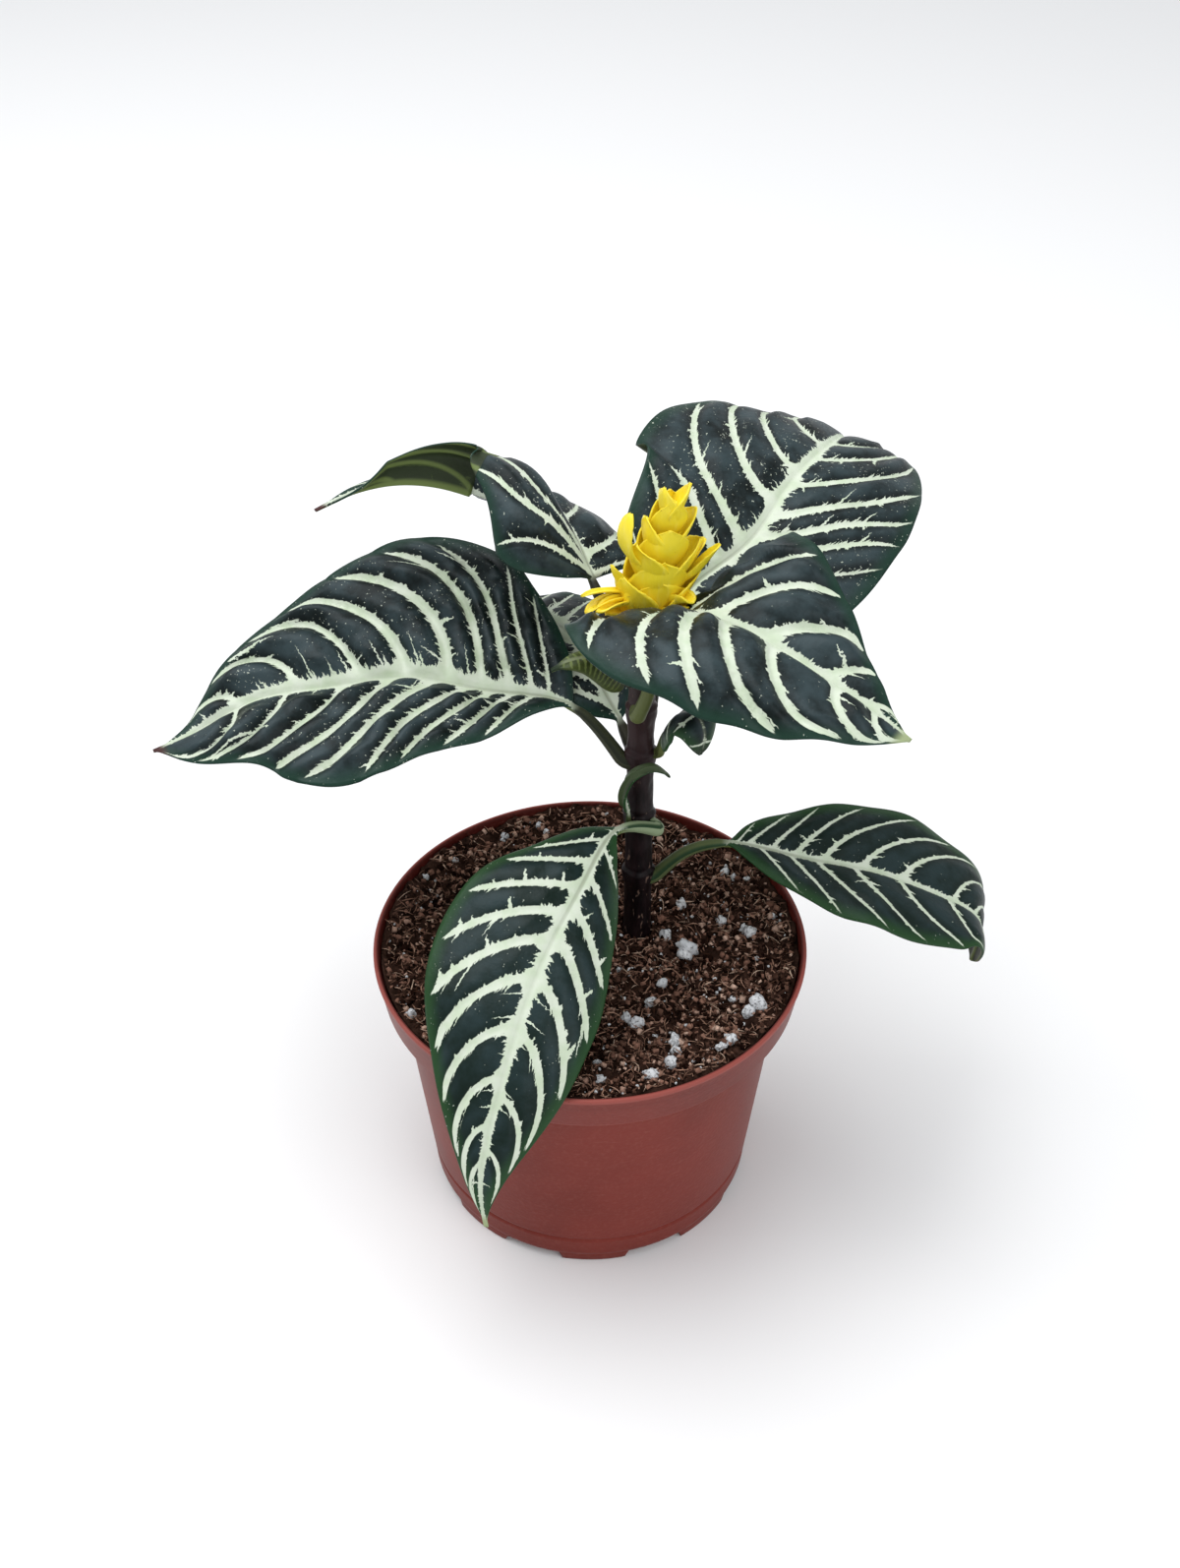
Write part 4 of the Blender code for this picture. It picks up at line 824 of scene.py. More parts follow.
def leaf_finish(name, seed, deep, painted_sheen, margin, cream, stalk, side, tip, flecks):
    """The upper face: a dark ground with a painted slate sheen in cloudy patches between the veins and
    painted shade next to each vein, greener at the margin, cream veins with torn edges, flecks, a stalk with
    darker sides, and a tip of its own."""
    finish = Finish(name, deep, LEAF_GLOSS, 0.19)
    finish.inputs["Specular Tint"].default_value = (0.86, 0.95, 1.0, 1.0)
    pale, rib, along, off = vein_pattern(finish, seed)
    rim, to_tip = finish.attribute("rim"), finish.attribute("to_tip")
    cloud = finish.place().noise(90.0, 4.0, 0.6)
    # Painted sheen: slate in cloudy patches between the veins. Next to each vein it fades to the dark ground,
    # as painted shade.
    painted_sheen_share = cloud.ramp(0.30, 0.66) * off.ramp(0.8, 3.2).scaled(0.8, 0.2)
    skin = rim.ramp(0.3, 5.5, 0.9, 0.0).blend(painted_sheen_share.blend(deep, painted_sheen), margin)
    skin = (fleck_pattern(finish, flecks) * 0.75).blend(skin, [c * 0.8 for c in cream])
    shaded = [c * f for c, f in zip(cream, (0.84, 0.9, 0.8))]
    skin = pale.blend(skin, finish.place().noise(240.0, 3.0).ramp(0.3, 0.75).blend(cream, shaded))
    groove = rib.ramp(0.2, 0.75, 0.6, 0.0) * along.ramp(10.0, 60.0, 1.0, 0.15)
    skin = groove.blend(skin, (0.20, 0.22, 0.15))
    skin = along.ramp(*STALK_JOIN).blend(skin, rim.ramp(0.15, 0.42).blend(side, stalk))
    finish.link("Base Color", to_tip.ramp(1.5, 4.5, 1.0, 0.0).blend(skin, tip))
    finish.link("Roughness", cloud.scaled(0.10, pale.scaled(0.16, LEAF_GLOSS)))
    pucker = finish.place().noise(300.0)
    finish.bump(finish.place().noise(1400.0, 3.0, 0.6).scaled(0.35, pucker), 0.0004, 0.5)
    return finish.material


def leaf_under_finish(name, seed, olive, vein_green, stalk):
    """The under side: dull olive, with the same veins in yellow-green and no flecks."""
    finish = Finish(name, olive, 0.55, 0.3)
    pale, rib, along, off = vein_pattern(finish, seed)
    ground = finish.place().noise(120.0, 3.0).blend(olive, [c * 0.6 for c in olive])
    soft = off.ramp(0.25, 1.1, 0.75, 0.0).largest(rib.ramp(0.6, 1.6, 0.9, 0.0)).largest(pale * 0.2)
    finish.link("Base Color", along.ramp(*STALK_JOIN).blend(soft.blend(ground, vein_green), stalk))
    finish.bump(finish.place().noise(700.0, 3.0), 0.0003, 0.4)
    return finish.material


STALK_JOIN = (-2.5, 1.5, 1.0, 0.0)
SMOOTH_LEAVES = ("leaf_front", "leaf_low_right")
YOUNG_LEAVES = ("leaf_young_left", "leaf_under_right", "leaf_curl")
CREAM = (0.60, 0.655, 0.545)
DARK_TIP = (0.055, 0.018, 0.016)
PALE_TIP = (0.32, 0.38, 0.20)
YOUNG_TIP = (0.014, 0.026, 0.010)
YOUNG_VEIN = (0.14, 0.175, 0.055)
BROWN_STALK = (0.026, 0.022, 0.011)
OLIVE_STALK = (0.10, 0.12, 0.035)
STALKS = {"leaf_right": OLIVE_STALK, "leaf_under_right": OLIVE_STALK, "leaf_front": (0.22, 0.28, 0.16),
          "leaf_curl": (0.055, 0.070, 0.024), "leaf_low_right": (0.085, 0.110, 0.042),
          "leaf_left": (0.030, 0.034, 0.016)}
FEW_FLECKS = 0.3
FLECKS = {"leaf_left": 1.2, "leaf_back_right": 1.4, "leaf_back_left": 1.2, "leaf_behind": 1.4,
          "leaf_right": 0.25}


def leaf_finishes(name, seed):
    """The finishes of one leaf's upper face and under side, in the tones of its kind."""
    smooth, young, curl = name in SMOOTH_LEAVES, name in YOUNG_LEAVES, name == "leaf_curl"
    deep = (0.003, 0.010, 0.006) if smooth else (0.001, 0.003, 0.002)
    # The slate tone of the painted sheen.
    painted_sheen = (0.015, 0.029, 0.030) if smooth else (0.031, 0.048, 0.053)
    margin = (0.018, 0.058, 0.016) if smooth or young else (0.010, 0.036, 0.022)
    vein = CREAM
    if name == "leaf_young_left":
        deep, painted_sheen = (0.006, 0.014, 0.005), (0.016, 0.030, 0.010)
        margin, vein = (0.065, 0.085, 0.022), YOUNG_VEIN
    stalk = STALKS.get(name, BROWN_STALK)
    side = (0.016, 0.042, 0.014) if smooth or curl else [c * 0.55 for c in stalk]
    tip = PALE_TIP if name in ("leaf_right", "leaf_front") else YOUNG_TIP if young else DARK_TIP
    under_vein = (0.045, 0.070, 0.026) if curl else (0.14, 0.19, 0.05)
    return [leaf_finish(name + " upper face", seed, deep, painted_sheen, margin, vein, stalk, side, tip,
                        FLECKS.get(name, FEW_FLECKS)),
            leaf_under_finish(name + " under side", seed, (0.022, 0.036, 0.010), under_vein, stalk)]


# %% Make the leaves
BIG_GRID = (180, 42)
SMALL_GRID = (90, 14)
for number, (name, leaf) in enumerate(LEAVES.items()):
    rows, columns = BIG_GRID if name in BIG_LEAVES else SMALL_GRID
    pattern_seed, crease_seed = 3.7 * number + 1.0, 40 + 7 * number
    make_leaf(name, leaf, rows, columns, leaf_finishes(name, pattern_seed), crease_seed)

# %% [markdown]
# ## The pot
# A grow pot is thin moulded plastic: a flared collar, a step under it, a body that narrows to a rounded
# corner, and a ring of feet. It is round, so one profile turned about the axis makes it. The notches
# between the feet are made in the same grid, by lifting the foot ring's lowest points over part of the turn.

# %% The pot's profile and its turn
POT_STEPS = 256
FOOT_COUNT = 8
NOTCH_DEGREES = 21.5
NOTCH_EASE = 0.9
FRONT_FOOT_DEGREES = -88.7
GROOVE_HEIGHT = 10.4
GROOVE_DEPTH = 0.5
GROOVE_REACH = 0.55
FLOOR_RINGS = [20.0, 30.0, 38.0]


def body_radius(height):
    """The radius of the body's outer slope at a height: from the rounded corner up to the collar."""
    low, high = FOOT_HEIGHT + CORNER_RADIUS, POT_HEIGHT - COLLAR_DEPTH
    top = RIM_RADIUS - COLLAR_TAPER - COLLAR_STEP
    return BASE_RADIUS + (top - BASE_RADIUS) * (height - low) / (high - low)


def inner_radius(height):
    """The pot's inner radius: in the collar, and below the ledge that joins it to the body."""
    low = POT_HEIGHT - COLLAR_DEPTH
    if height >= low + LEDGE_HEIGHT:
        return RIM_RADIUS - RIM_WALL - COLLAR_TAPER * (1 - (height - low) / COLLAR_DEPTH)
    return body_radius(height) - BODY_WALL


def rounded(corner_from, corner, corner_to, count=5):
    """A few points of the smooth bend from one point to another with the corner as its handle."""
    u = np.linspace(0.0, 1.0, count)[:, None]
    start, handle, end = (np.asarray(p, float) for p in (corner_from, corner, corner_to))
    return ((1 - u) ** 2 * start + 2 * u * (1 - u) * handle + u ** 2 * end).tolist()


collar_low = POT_HEIGHT - COLLAR_DEPTH
collar_foot = RIM_RADIUS - COLLAR_TAPER
ledge = collar_low + LEDGE_HEIGHT
floor_top = FOOT_HEIGHT + BODY_WALL
rim_inside = RIM_RADIUS - RIM_WALL
rim_middle = RIM_RADIUS - RIM_WALL / 2
corner_top = FOOT_HEIGHT + CORNER_RADIUS
foot_inside = FOOT_RADIUS - FOOT_WALL
foot_top = FOOT_HEIGHT - 0.02
outside = [
    *rounded((rim_inside, POT_HEIGHT - 0.9), (rim_inside + 0.1, POT_HEIGHT), (rim_middle, POT_HEIGHT)),
    *rounded((rim_middle + 0.1, POT_HEIGHT), (RIM_RADIUS, POT_HEIGHT), (RIM_RADIUS - 0.1, POT_HEIGHT - 1.0)),
    (RIM_RADIUS - 0.5, POT_HEIGHT - 2.0),
    *rounded((collar_foot + 0.25, collar_low + 1.2), (collar_foot - 0.05, collar_low),
             (body_radius(collar_low) + 0.6, collar_low - 0.1)),
    *rounded((body_radius(collar_low) + 0.3, collar_low - 0.2), (body_radius(collar_low), collar_low - 0.3),
             (body_radius(collar_low - 1.2), collar_low - 1.2)),
    *[(body_radius(h), h) for h in np.linspace(collar_low - 4, GROOVE_HEIGHT + 3, 10)],
    *[(body_radius(GROOVE_HEIGHT + h) - GROOVE_DEPTH * math.exp(-(h / GROOVE_REACH) ** 2), GROOVE_HEIGHT + h)
      for h in np.linspace(1.5, -1.5, 11)],
    *rounded((body_radius(corner_top), corner_top), (BASE_RADIUS, FOOT_HEIGHT + 0.4),
             (FOOT_RADIUS, FOOT_HEIGHT)),
]
foot = [
    (FOOT_RADIUS, foot_top),
    *rounded((FOOT_RADIUS - 0.2, 0.5), (FOOT_RADIUS - 0.3, 0.0), (FOOT_RADIUS - 0.8, 0.0)),
    *rounded((foot_inside + 0.4, 0.0), (foot_inside, 0.0), (foot_inside - 0.1, 0.5)),
    (foot_inside - 0.4, foot_top),
]
inside = [(BASE_RADIUS - CORNER_RADIUS - 1.0, floor_top)]
inside += [(inner_radius(h), h) for h in (floor_top + 3.5, ledge - 0.5, ledge + 0.5, POT_HEIGHT - 2.0)]
profile = np.array([(r, floor_top) for r in FLOOR_RINGS] + inside + outside + foot
                   + [(r, FOOT_HEIGHT) for r in FLOOR_RINGS[::-1]])
is_foot = np.zeros(len(profile), bool)
is_foot[len(FLOOR_RINGS) + len(inside) + len(outside) + 1:-len(FLOOR_RINGS) - 1] = True

turn = circle(POT_STEPS)
foot_span = 360 / FOOT_COUNT
from_foot = (np.degrees(turn) - FRONT_FOOT_DEGREES + foot_span / 2) % foot_span - foot_span / 2
in_notch = (np.abs(from_foot) - (foot_span / 2 - NOTCH_DEGREES / 2)) / NOTCH_EASE
in_notch = np.clip(in_notch + 0.5, 0.0, 1.0)
height = profile[:, 1:]
lift = np.where(is_foot[:, None], (FOOT_HEIGHT - 0.05 - height) * in_notch[None, :], 0.0)
pot_rings = rings(profile[:, :1], turn, height + lift)
print(len(profile), "points in the pot's profile")

# %% [markdown]
# ## The pot's plastic
# The plastic is a satin brick red, with painted shade on the wall inside above the soil. Handling leaves
# faint grey scratches that run round the wall, the lip's outer edge carries a painted highlight, and crumbs
# of soil cling near the rim.


# %% Pot finish
def pot_finish():
    """Brick red with cloudy tone, painted shade on the wall inside, a painted highlight on the lip outside, a
    painted shadow line under the collar and a painted highlight on its edge, scuffs drawn out round the wall,
    and dust near the rim. Heights are in metres."""
    finish = Finish("pot plastic", (0.168, 0.024, 0.016), 0.45, 0.15)
    tall = finish.height()
    cloud = finish.place().noise(24.0, 4.0, 0.55)
    red = cloud.ramp(0.3, 0.7).blend((0.145, 0.020, 0.013), (0.190, 0.029, 0.020))
    spot = finish.place((1.0, 1.0, 0.0), (-POT_AXIS[0] * MM, -POT_AXIS[1] * MM, 0.0))
    from_axis = add_node(finish.tree, "ShaderNodeVectorMath", {0: spot}, "Value", operation="LENGTH")
    lip = from_axis.ramp((RIM_RADIUS - 1.3) * MM, (RIM_RADIUS - 0.6) * MM)
    # Painted shade: the inner wall above the soil is darkened.
    inner_wall_shade = tall.ramp(0.0775, 0.079) * lip.scaled(-1.0, 1.0)
    red = (inner_wall_shade * 0.85).blend(red, (0.075, 0.010, 0.007))
    # Painted highlight: the top of the lip outside is lightened.
    red = (lip * tall.ramp(0.0805, 0.0818, 0.0, 0.8)).blend(red, (0.33, 0.085, 0.070))
    fine = finish.place().noise(900.0)
    red = fine.ramp(0.45, 0.8, 0.0, 0.2).blend(red, (0.27, 0.08, 0.06))
    # Painted shadow: a dark line in the crease under the collar step.
    crease = abs(tall - (collar_low - 0.45) * MM)
    red = crease.ramp(0.0003, 0.0009, 0.55, 0.0).blend(red, (0.075, 0.014, 0.010))
    # Painted highlight: a pale line along the collar's lower edge.
    edge = abs(tall - (collar_low + 0.8) * MM)
    red = edge.ramp(0.0002, 0.0007, 0.35, 0.0).blend(red, (0.34, 0.10, 0.075))
    drawn = finish.place((1.0, 1.0, 9.0)).noise(95.0, 5.0, 0.7)
    hair = finish.place((0.35, 0.35, 5.0)).noise(300.0, 3.0, 0.6)
    scratch = hair.ramp(0.66, 0.72) * cloud.ramp(0.42, 0.58)
    marks = (drawn.ramp(0.62, 0.78) * 0.3).largest(scratch * 0.35)
    red = marks.blend(red, (0.33, 0.13, 0.10))
    dust = finish.place().noise(620.0, 3.0, 0.7).ramp(0.66, 0.72) * tall.ramp(0.074, 0.082).scaled(0.75, 0.1)
    finish.link("Base Color", dust.blend(red, (0.025, 0.012, 0.008)))
    finish.link("Roughness", marks.scaled(0.25, cloud.scaled(0.12, 0.36)))
    finish.bump(drawn.scaled(0.5, fine), 0.00012, 0.5)
    return finish.material


# %% Make the pot
DRAIN_RADIUS = 3.5
DRAIN_CIRCLE = 30.0
DRAIN_COUNT = 6
DRAIN_SIDES = 24
SHARP_DEGREES = 50


def bore_drains(piece):
    """Cuts the drain holes through the pot's floor with plain cylinders, and keeps the cut mesh."""
    turn = 2 * np.pi * (np.arange(DRAIN_COUNT) + 0.5) / DRAIN_COUNT
    centre = (DRAIN_CIRCLE * np.cos(turn)[:, None, None], DRAIN_CIRCLE * np.sin(turn)[:, None, None])
    levels = np.array([[FOOT_HEIGHT - 2.0], [floor_top + 2.0]])
    pins = rings(DRAIN_RADIUS, circle(DRAIN_SIDES), levels, centre).reshape(-1, 3)
    placed = (pins + (*POT_AXIS, 0.0)) * MM
    tool_mesh = bpy.data.meshes.new("drain tool")
    tool_mesh.from_pydata(placed.tolist(), [], tube_faces(len(levels), DRAIN_SIDES, DRAIN_COUNT))
    tool = bpy.data.objects.new("drain tool", tool_mesh)
    bpy.context.scene.collection.objects.link(tool)
    cut = piece.modifiers.new("drains", "BOOLEAN")
    cut.operation, cut.solver, cut.object = "DIFFERENCE", "EXACT", tool
    graph = bpy.context.evaluated_depsgraph_get()
    bored = bpy.data.meshes.new_from_object(piece.evaluated_get(graph))
    piece.modifiers.clear()
    piece.data = bored
    bpy.data.objects.remove(tool)
    print(f"drain holes: {len(bored.polygons)} faces now")


pot_faces = tube_faces(len(profile), POT_STEPS, flip=True)
pot = make_piece("dressed_pot", pot_rings, pot_faces, [pot_finish()], ("pot",))
bore_drains(pot)
pot.data.set_sharp_from_angle(angle=math.radians(SHARP_DEGREES))

# %% [markdown]
# ## The soil
# Potting mix is crumbs of peat and bark, short coir fibres and white grains of perlite. The soil itself is
# a bumpy disc in the shape of a shallow dish, heaped up a little at the wall and at the back. The crumbs,
# fibres and grains are each one small shape, copied many times with seeded turns and sizes in one go, and
# joined into one mesh, because thousands of separate objects would be slow.

# %% The soil's surface
SOIL_TOP = 74.8
SOIL_EDGE = 77.8
SOIL_BUMP = 0.55
SOIL_STEPS = 300
SOIL_RINGS = 85
SOIL_RIPPLES = ((0.8, 9.0, 5), (0.6, 4.0, 6), (0.45, 2.0, 8), (0.3, 1.1, 9))
EDGE_HEAP = 2.9
SOIL_RADIUS = inner_radius(SOIL_EDGE + EDGE_HEAP) - 0.3
SOIL_WAVES = ((1.0, 0.31, 0.9, 0.27, -0.4), (0.7, 0.19, 2.0, 0.43, 1.6), (0.5, 0.56, 0.0, 0.21, 0.5))
HOLE_RADIUS = 4.7
HOLE_FLOOR = 45.4
BACK_HEAP = 1.5
BACK_HEAP_REACH = 15.0
CLUMPS = [(-35.0, 36.0, 4.5, 2.2), (-8.0, 46.0, 5.0, 1.2), (36.0, 4.0, 4.5, 1.6), (8.0, -36.0, 4.0, 1.4),
          (33.0, -14.0, 5.0, 1.5), (14.0, -10.0, 4.0, 1.3), (-44.0, 12.0, 4.5, 1.5), (30.0, 34.0, 4.0, 1.4),
          (46.0, -6.0, 4.0, 1.2), (27.0, -27.0, 4.0, 1.3)]


def soil_height(x, y):
    """The soil's top: a shallow dish, with the low bumps of three crossed waves."""
    dish = (x ** 2 + y ** 2) / inner_radius(SOIL_EDGE) ** 2
    bumps = sum(high * np.sin(along_x * x + start_x) * np.cos(along_y * y + start_y)
                for high, along_x, start_x, along_y, start_y in SOIL_WAVES)
    return SOIL_TOP + (SOIL_EDGE - SOIL_TOP) * dish + SOIL_BUMP * bumps * (1 - 0.7 * dish)


def soil_surface(x, y):
    """The top with its crumbly relief: the dish, heaped up at the wall and at the back, with a few clumps and
    with ripples of four sizes."""
    heap = EDGE_HEAP * ((x ** 2 + y ** 2) / SOIL_RADIUS ** 2) ** 2
    heap = heap + BACK_HEAP * np.exp(-(x / BACK_HEAP_REACH) ** 2) * np.clip(y / SOIL_RADIUS, 0.0, 1.0) ** 6
    for clump_x, clump_y, reach, high in CLUMPS:
        heap = heap + high * np.exp(-((x - clump_x) ** 2 + (y - clump_y) ** 2) / reach ** 2)
    rough = sum(high * ripples(x, y, size, seed) for high, size, seed in SOIL_RIPPLES)
    return soil_height(x, y) + heap + 0.8 * rough


soil_turn = circle(SOIL_STEPS)
outward = np.linspace(0.0, 1.0, SOIL_RINGS)[:, None]
hole = rings(HOLE_RADIUS, soil_turn, 0.0, (STEM_X, STEM_Y))
brim = rings(SOIL_RADIUS, soil_turn, 0.0)
sx, sy = np.moveaxis((1 - outward[..., None]) * hole + outward[..., None] * brim, 2, 0)[:2]
hole_ring = rings(HOLE_RADIUS, soil_turn, HOLE_FLOOR, (STEM_X, STEM_Y))
wall = [(inner_radius(h) - 0.4, h) for h in (SOIL_EDGE, ledge + 1.2, ledge - 0.2, floor_top + 4.0)]
wall = np.array([*wall, (BASE_RADIUS - CORNER_RADIUS - 2.0, floor_top + GAP)])
wall_rings = rings(wall[:, :1], soil_turn, wall[:, 1:])
soil_points = np.concatenate([hole_ring[None], np.stack([sx, sy, soil_surface(sx, sy)], -1), wall_rings])
print("soil radius", round(SOIL_RADIUS, 1), "mm")


# %% Copies of one small shape
def random_turns(draw, number):
    """Evenly spread random rotations, as the matrices of random unit quaternions."""
    w, x, y, z = draw.normal(size=(4, number))
    size = np.sqrt(w ** 2 + x ** 2 + y ** 2 + z ** 2)
    w, x, y, z = w / size, x / size, y / size, z / size
    rows = [[1 - 2 * (y * y + z * z), 2 * (x * y - z * w), 2 * (x * z + y * w)],
            [2 * (x * y + z * w), 1 - 2 * (x * x + z * z), 2 * (y * z - x * w)],
            [2 * (x * z - y * w), 2 * (y * z + x * w), 1 - 2 * (x * x + y * y)]]
    return np.moveaxis(np.array(rows), 2, 0)


def copies(draw, shape, faces, places, sizes):
    """A shape's points stretched, given a random turn and moved to every place, and its faces once for each
    copy. The shape is the same for all, or one for each."""
    turns = random_turns(draw, len(places))
    points = np.einsum("nij,nkj->nki", turns, shape * sizes[:, None, :]) + places[:, None, :]
    shift = np.arange(len(places))[:, None, None] * shape.shape[-2]
    return points.reshape(-1, 3), (faces + shift).reshape(-1, faces.shape[1])


def ball(detail):
    """A round grain's points and faces: a cube's grid of points, each pushed out to the sphere."""
    axis = np.tan(np.linspace(-0.25, 0.25, detail + 1) * np.pi)
    a, b = np.meshgrid(axis, axis, indexing="ij")
    one = np.ones_like(a)
    sides = [(one, a, b), (-one, b, a), (b, one, a), (a, -one, b), (a, b, one), (b, a, -one)]
    points = np.concatenate([np.stack(side, -1).reshape(-1, 3) for side in sides])
    points /= np.linalg.norm(points, axis=1)[:, None]
    side_quads = grid_quads(detail + 1, detail + 1, False)[:, ::-1]
    quads = np.concatenate([side_quads + side * (detail + 1) ** 2 for side in range(6)])
    _, first, index = np.unique(points.round(5), axis=0, return_index=True, return_inverse=True)
    return points[first], index.reshape(-1)[quads]


def spread_places(draw, number, lowest, highest):
    """Random places all over the soil, at heights above its surface between two values."""
    reach = np.sqrt(draw.uniform(0.0, 0.98, number)) * (SOIL_RADIUS - 0.6)
    heading = draw.uniform(0, 2 * np.pi, number)
    x, y = reach * np.cos(heading), reach * np.sin(heading)
    keep = np.hypot(x - STEM_X, y - STEM_Y) > HOLE_RADIUS - 0.4
    x, y = x[keep], y[keep]
    return np.stack([x, y, soil_surface(x, y) + draw.uniform(lowest, highest, len(x))], -1)


# %% [markdown]
# ## Finishes for the soil, its crumbs and its perlite
# Each crumb and fibre has a tone of its own, carried as an attribute that is the same over the whole crumb,
# because a real mix is made of separate bits from near black to fox red. Perlite is a puffed white glass,
# so its grains are pale grey and pitted.


# %% Soil finishes
def soil_finish(name, darkest, middle, lightest, toned):
    """Crumbly brown, with painted shade in the hollows of its fine bump. The tone comes from noise on the
    ground, or from each crumb's own attribute.
    """
    finish = Finish(name, middle, 0.92, 0.05)
    grain = finish.place().noise(700.0, 4.0, 0.65)
    tone = finish.attribute("tone") if toned else finish.place().noise(160.0, 4.0, 0.7)
    brown = tone.ramp(0.25, 0.7).blend(darkest, middle)
    brown = tone.ramp(0.72, 1.0).blend(brown, lightest)
    # Painted shade: darker where the grain noise is low, in the hollows of the bump that it also drives.
    finish.link("Base Color", grain.ramp(0.35, 0.7, 0.45, 0.0).blend(brown, darkest))
    finish.bump(grain, 0.0008, 0.9)
    return finish.material


def perlite_finish():
    """Pitted pale grey: small pits from a thresholded noise, darkened as painted shade, and a rough bump."""
    finish = Finish("perlite", (0.62, 0.64, 0.66), 0.8)
    pits = finish.place().noise(1500.0, 3.0, 0.6).ramp(0.55, 0.68)
    cloud = finish.place().noise(350.0)
    white = cloud.blend((0.80, 0.81, 0.82), (0.48, 0.50, 0.53))
    # Painted shade: the pits that the bump sinks are darkened.
    finish.link("Base Color", (pits * 0.7).blend(white, (0.16, 0.15, 0.15)))
    finish.bump(cloud - pits, 0.0006, 0.8)
    return finish.material


PEAT = ((0.005, 0.002, 0.001), (0.075, 0.037, 0.026), (0.22, 0.12, 0.08))
BARK_CRUMB = ((0.014, 0.005, 0.003), (0.34, 0.178, 0.126), (0.92, 0.64, 0.50))
COIR = ((0.048, 0.020, 0.012), (0.53, 0.305, 0.215), (0.90, 0.68, 0.52))
ground_finish = soil_finish("potting mix", *PEAT, False)
crumb_finish = soil_finish("crumbs", *BARK_CRUMB, True)
fibre_finish = soil_finish("coir fibres", *COIR, True)

# %% Make the soil
soil_faces = tube_faces(len(soil_points), SOIL_STEPS, flip=True)
make_piece("dressed_soil", soil_points, soil_faces, [ground_finish], ("soil",))


def add_tone(piece, tones, each):
    """Gives every point of each copy that copy's own tone."""
    piece.data.attributes.new("tone", "FLOAT", "POINT").data.foreach_set("value", np.repeat(tones, each))


CRUMB_COUNT = 6000
draw = np.random.default_rng(7)
crumb_shape, crumb_quads = ball(1)
crumb_places = spread_places(draw, CRUMB_COUNT, -0.1, 1.0)
number = len(crumb_places)
crumb_sizes = draw.uniform(0.3, 0.8, (number, 1)) * draw.uniform(0.4, 2.0, (number, 3))
points, faces = copies(draw, crumb_shape, crumb_quads, crumb_places, crumb_sizes)
crumbs = make_piece("crumbs", points, faces.tolist(), [crumb_finish])
add_tone(crumbs, draw.beta(1.3, 1.4, number), len(crumb_shape))

# %% Fibres of coir
FIBRE_COUNT = 5200
FIBRE_RINGS, FIBRE_SIDES = 5, 3
along = np.linspace(-0.5, 0.5, FIBRE_RINGS)[None, :]
fibre_places = spread_places(draw, FIBRE_COUNT, 0.0, 1.0)
number = len(fibre_places)
length = draw.uniform(1.2, 5.0, (number, 1))
bend = draw.uniform(-0.9, 0.9, (number, 2))
heading = draw.uniform(0, 2 * np.pi, (number, 1))
tilt = draw.uniform(-0.3, 0.3, (number, 1))
radius = draw.uniform(0.09, 0.26, (number, 1))
bow = (0.25 - along ** 2) * length
fx = along * length * np.cos(heading) - bend[:, :1] * bow * np.sin(heading)
fy = along * length * np.sin(heading) + bend[:, :1] * bow * np.cos(heading)
fz = along * length * tilt + np.abs(bend[:, 1:]) * bow * 0.6
centre_line = np.stack([fx, fy, fz], -1) + fibre_places[:, None, :]
aside = np.stack([-np.sin(heading), np.cos(heading), 0 * heading], -1)[:, None]
upward = np.array([0.0, 0.0, 1.0])
around = circle(FIBRE_SIDES)[None, None, :, None]
thin_ends = (radius * np.clip(1.1 - 1.6 * np.abs(along), 0.3, 1.0))[:, :, None, None]
ring = centre_line[:, :, None, :] + thin_ends * (aside * np.cos(around) + upward * np.sin(around))
inside_pot = np.hypot(ring[..., 0], ring[..., 1]).reshape(number, -1).max(1) < SOIL_RADIUS + 0.3
ring = ring[inside_pot]
fibre_faces = tube_faces(FIBRE_RINGS, FIBRE_SIDES, len(ring))
fibres = make_piece("fibres", ring, fibre_faces, [fibre_finish])
add_tone(fibres, draw.beta(1.5, 1.6, len(ring)), FIBRE_RINGS * FIBRE_SIDES)

# %% [markdown]
# ## Perlite
# The largest grains are where the real ones lie, because the eye finds them at once: each row below is a
# place on the soil and a radius. Small ones are sown at random between them, and have few faces.

# %% Perlite grains
SMALL_GRAIN_COUNT = 520
DENT_SHARE = 0.26
BIG_GRAINS = [
    (26.7, 0.1, 2.7), (12.3, -26.1, 2.2), (9.6, -25.0, 1.5), (44.8, -23.9, 2.3), (42.0, -25.6, 1.6),
    (16.5, -17.9, 1.6), (19.6, -11.4, 1.4), (44.6, 5.7, 1.9), (42.9, 8.1, 1.2), (36.8, 11.9, 1.5),
    (26.0, 20.2, 1.5), (22.5, -34.4, 1.6), (22.4, -37.6, 1.5), (36.8, -36.6, 1.6), (34.2, -38.6, 1.3),
    (20.9, -44.2, 1.9), (15.7, -47.7, 1.7), (21.2, 7.2, 1.3), (28.0, 44.0, 1.0), (-15.0, 50.0, 1.0),
    (-25.0, 46.0, 1.1), (-13.0, 47.0, 0.8), (-39.0, 35.0, 0.9), (-47.0, 28.0, 0.9), (-47.4, -27.1, 1.4),
    (1.8, -41.3, 1.3), (2.5, -48.3, 1.3), (38.8, 30.2, 1.3), (41.2, 28.5, 1.0), (17.4, -31.1, 0.9),
    (38.3, -19.3, 1.0), (7.3, 23.8, 1.2), (45.0, 26.5, 1.0), (8.1, -4.7, 0.9), (11.6, -5.6, 1.1),
    (26.1, -9.2, 0.8), (45.8, -5.3, 0.8), (51.5, 12.0, 0.9),
]


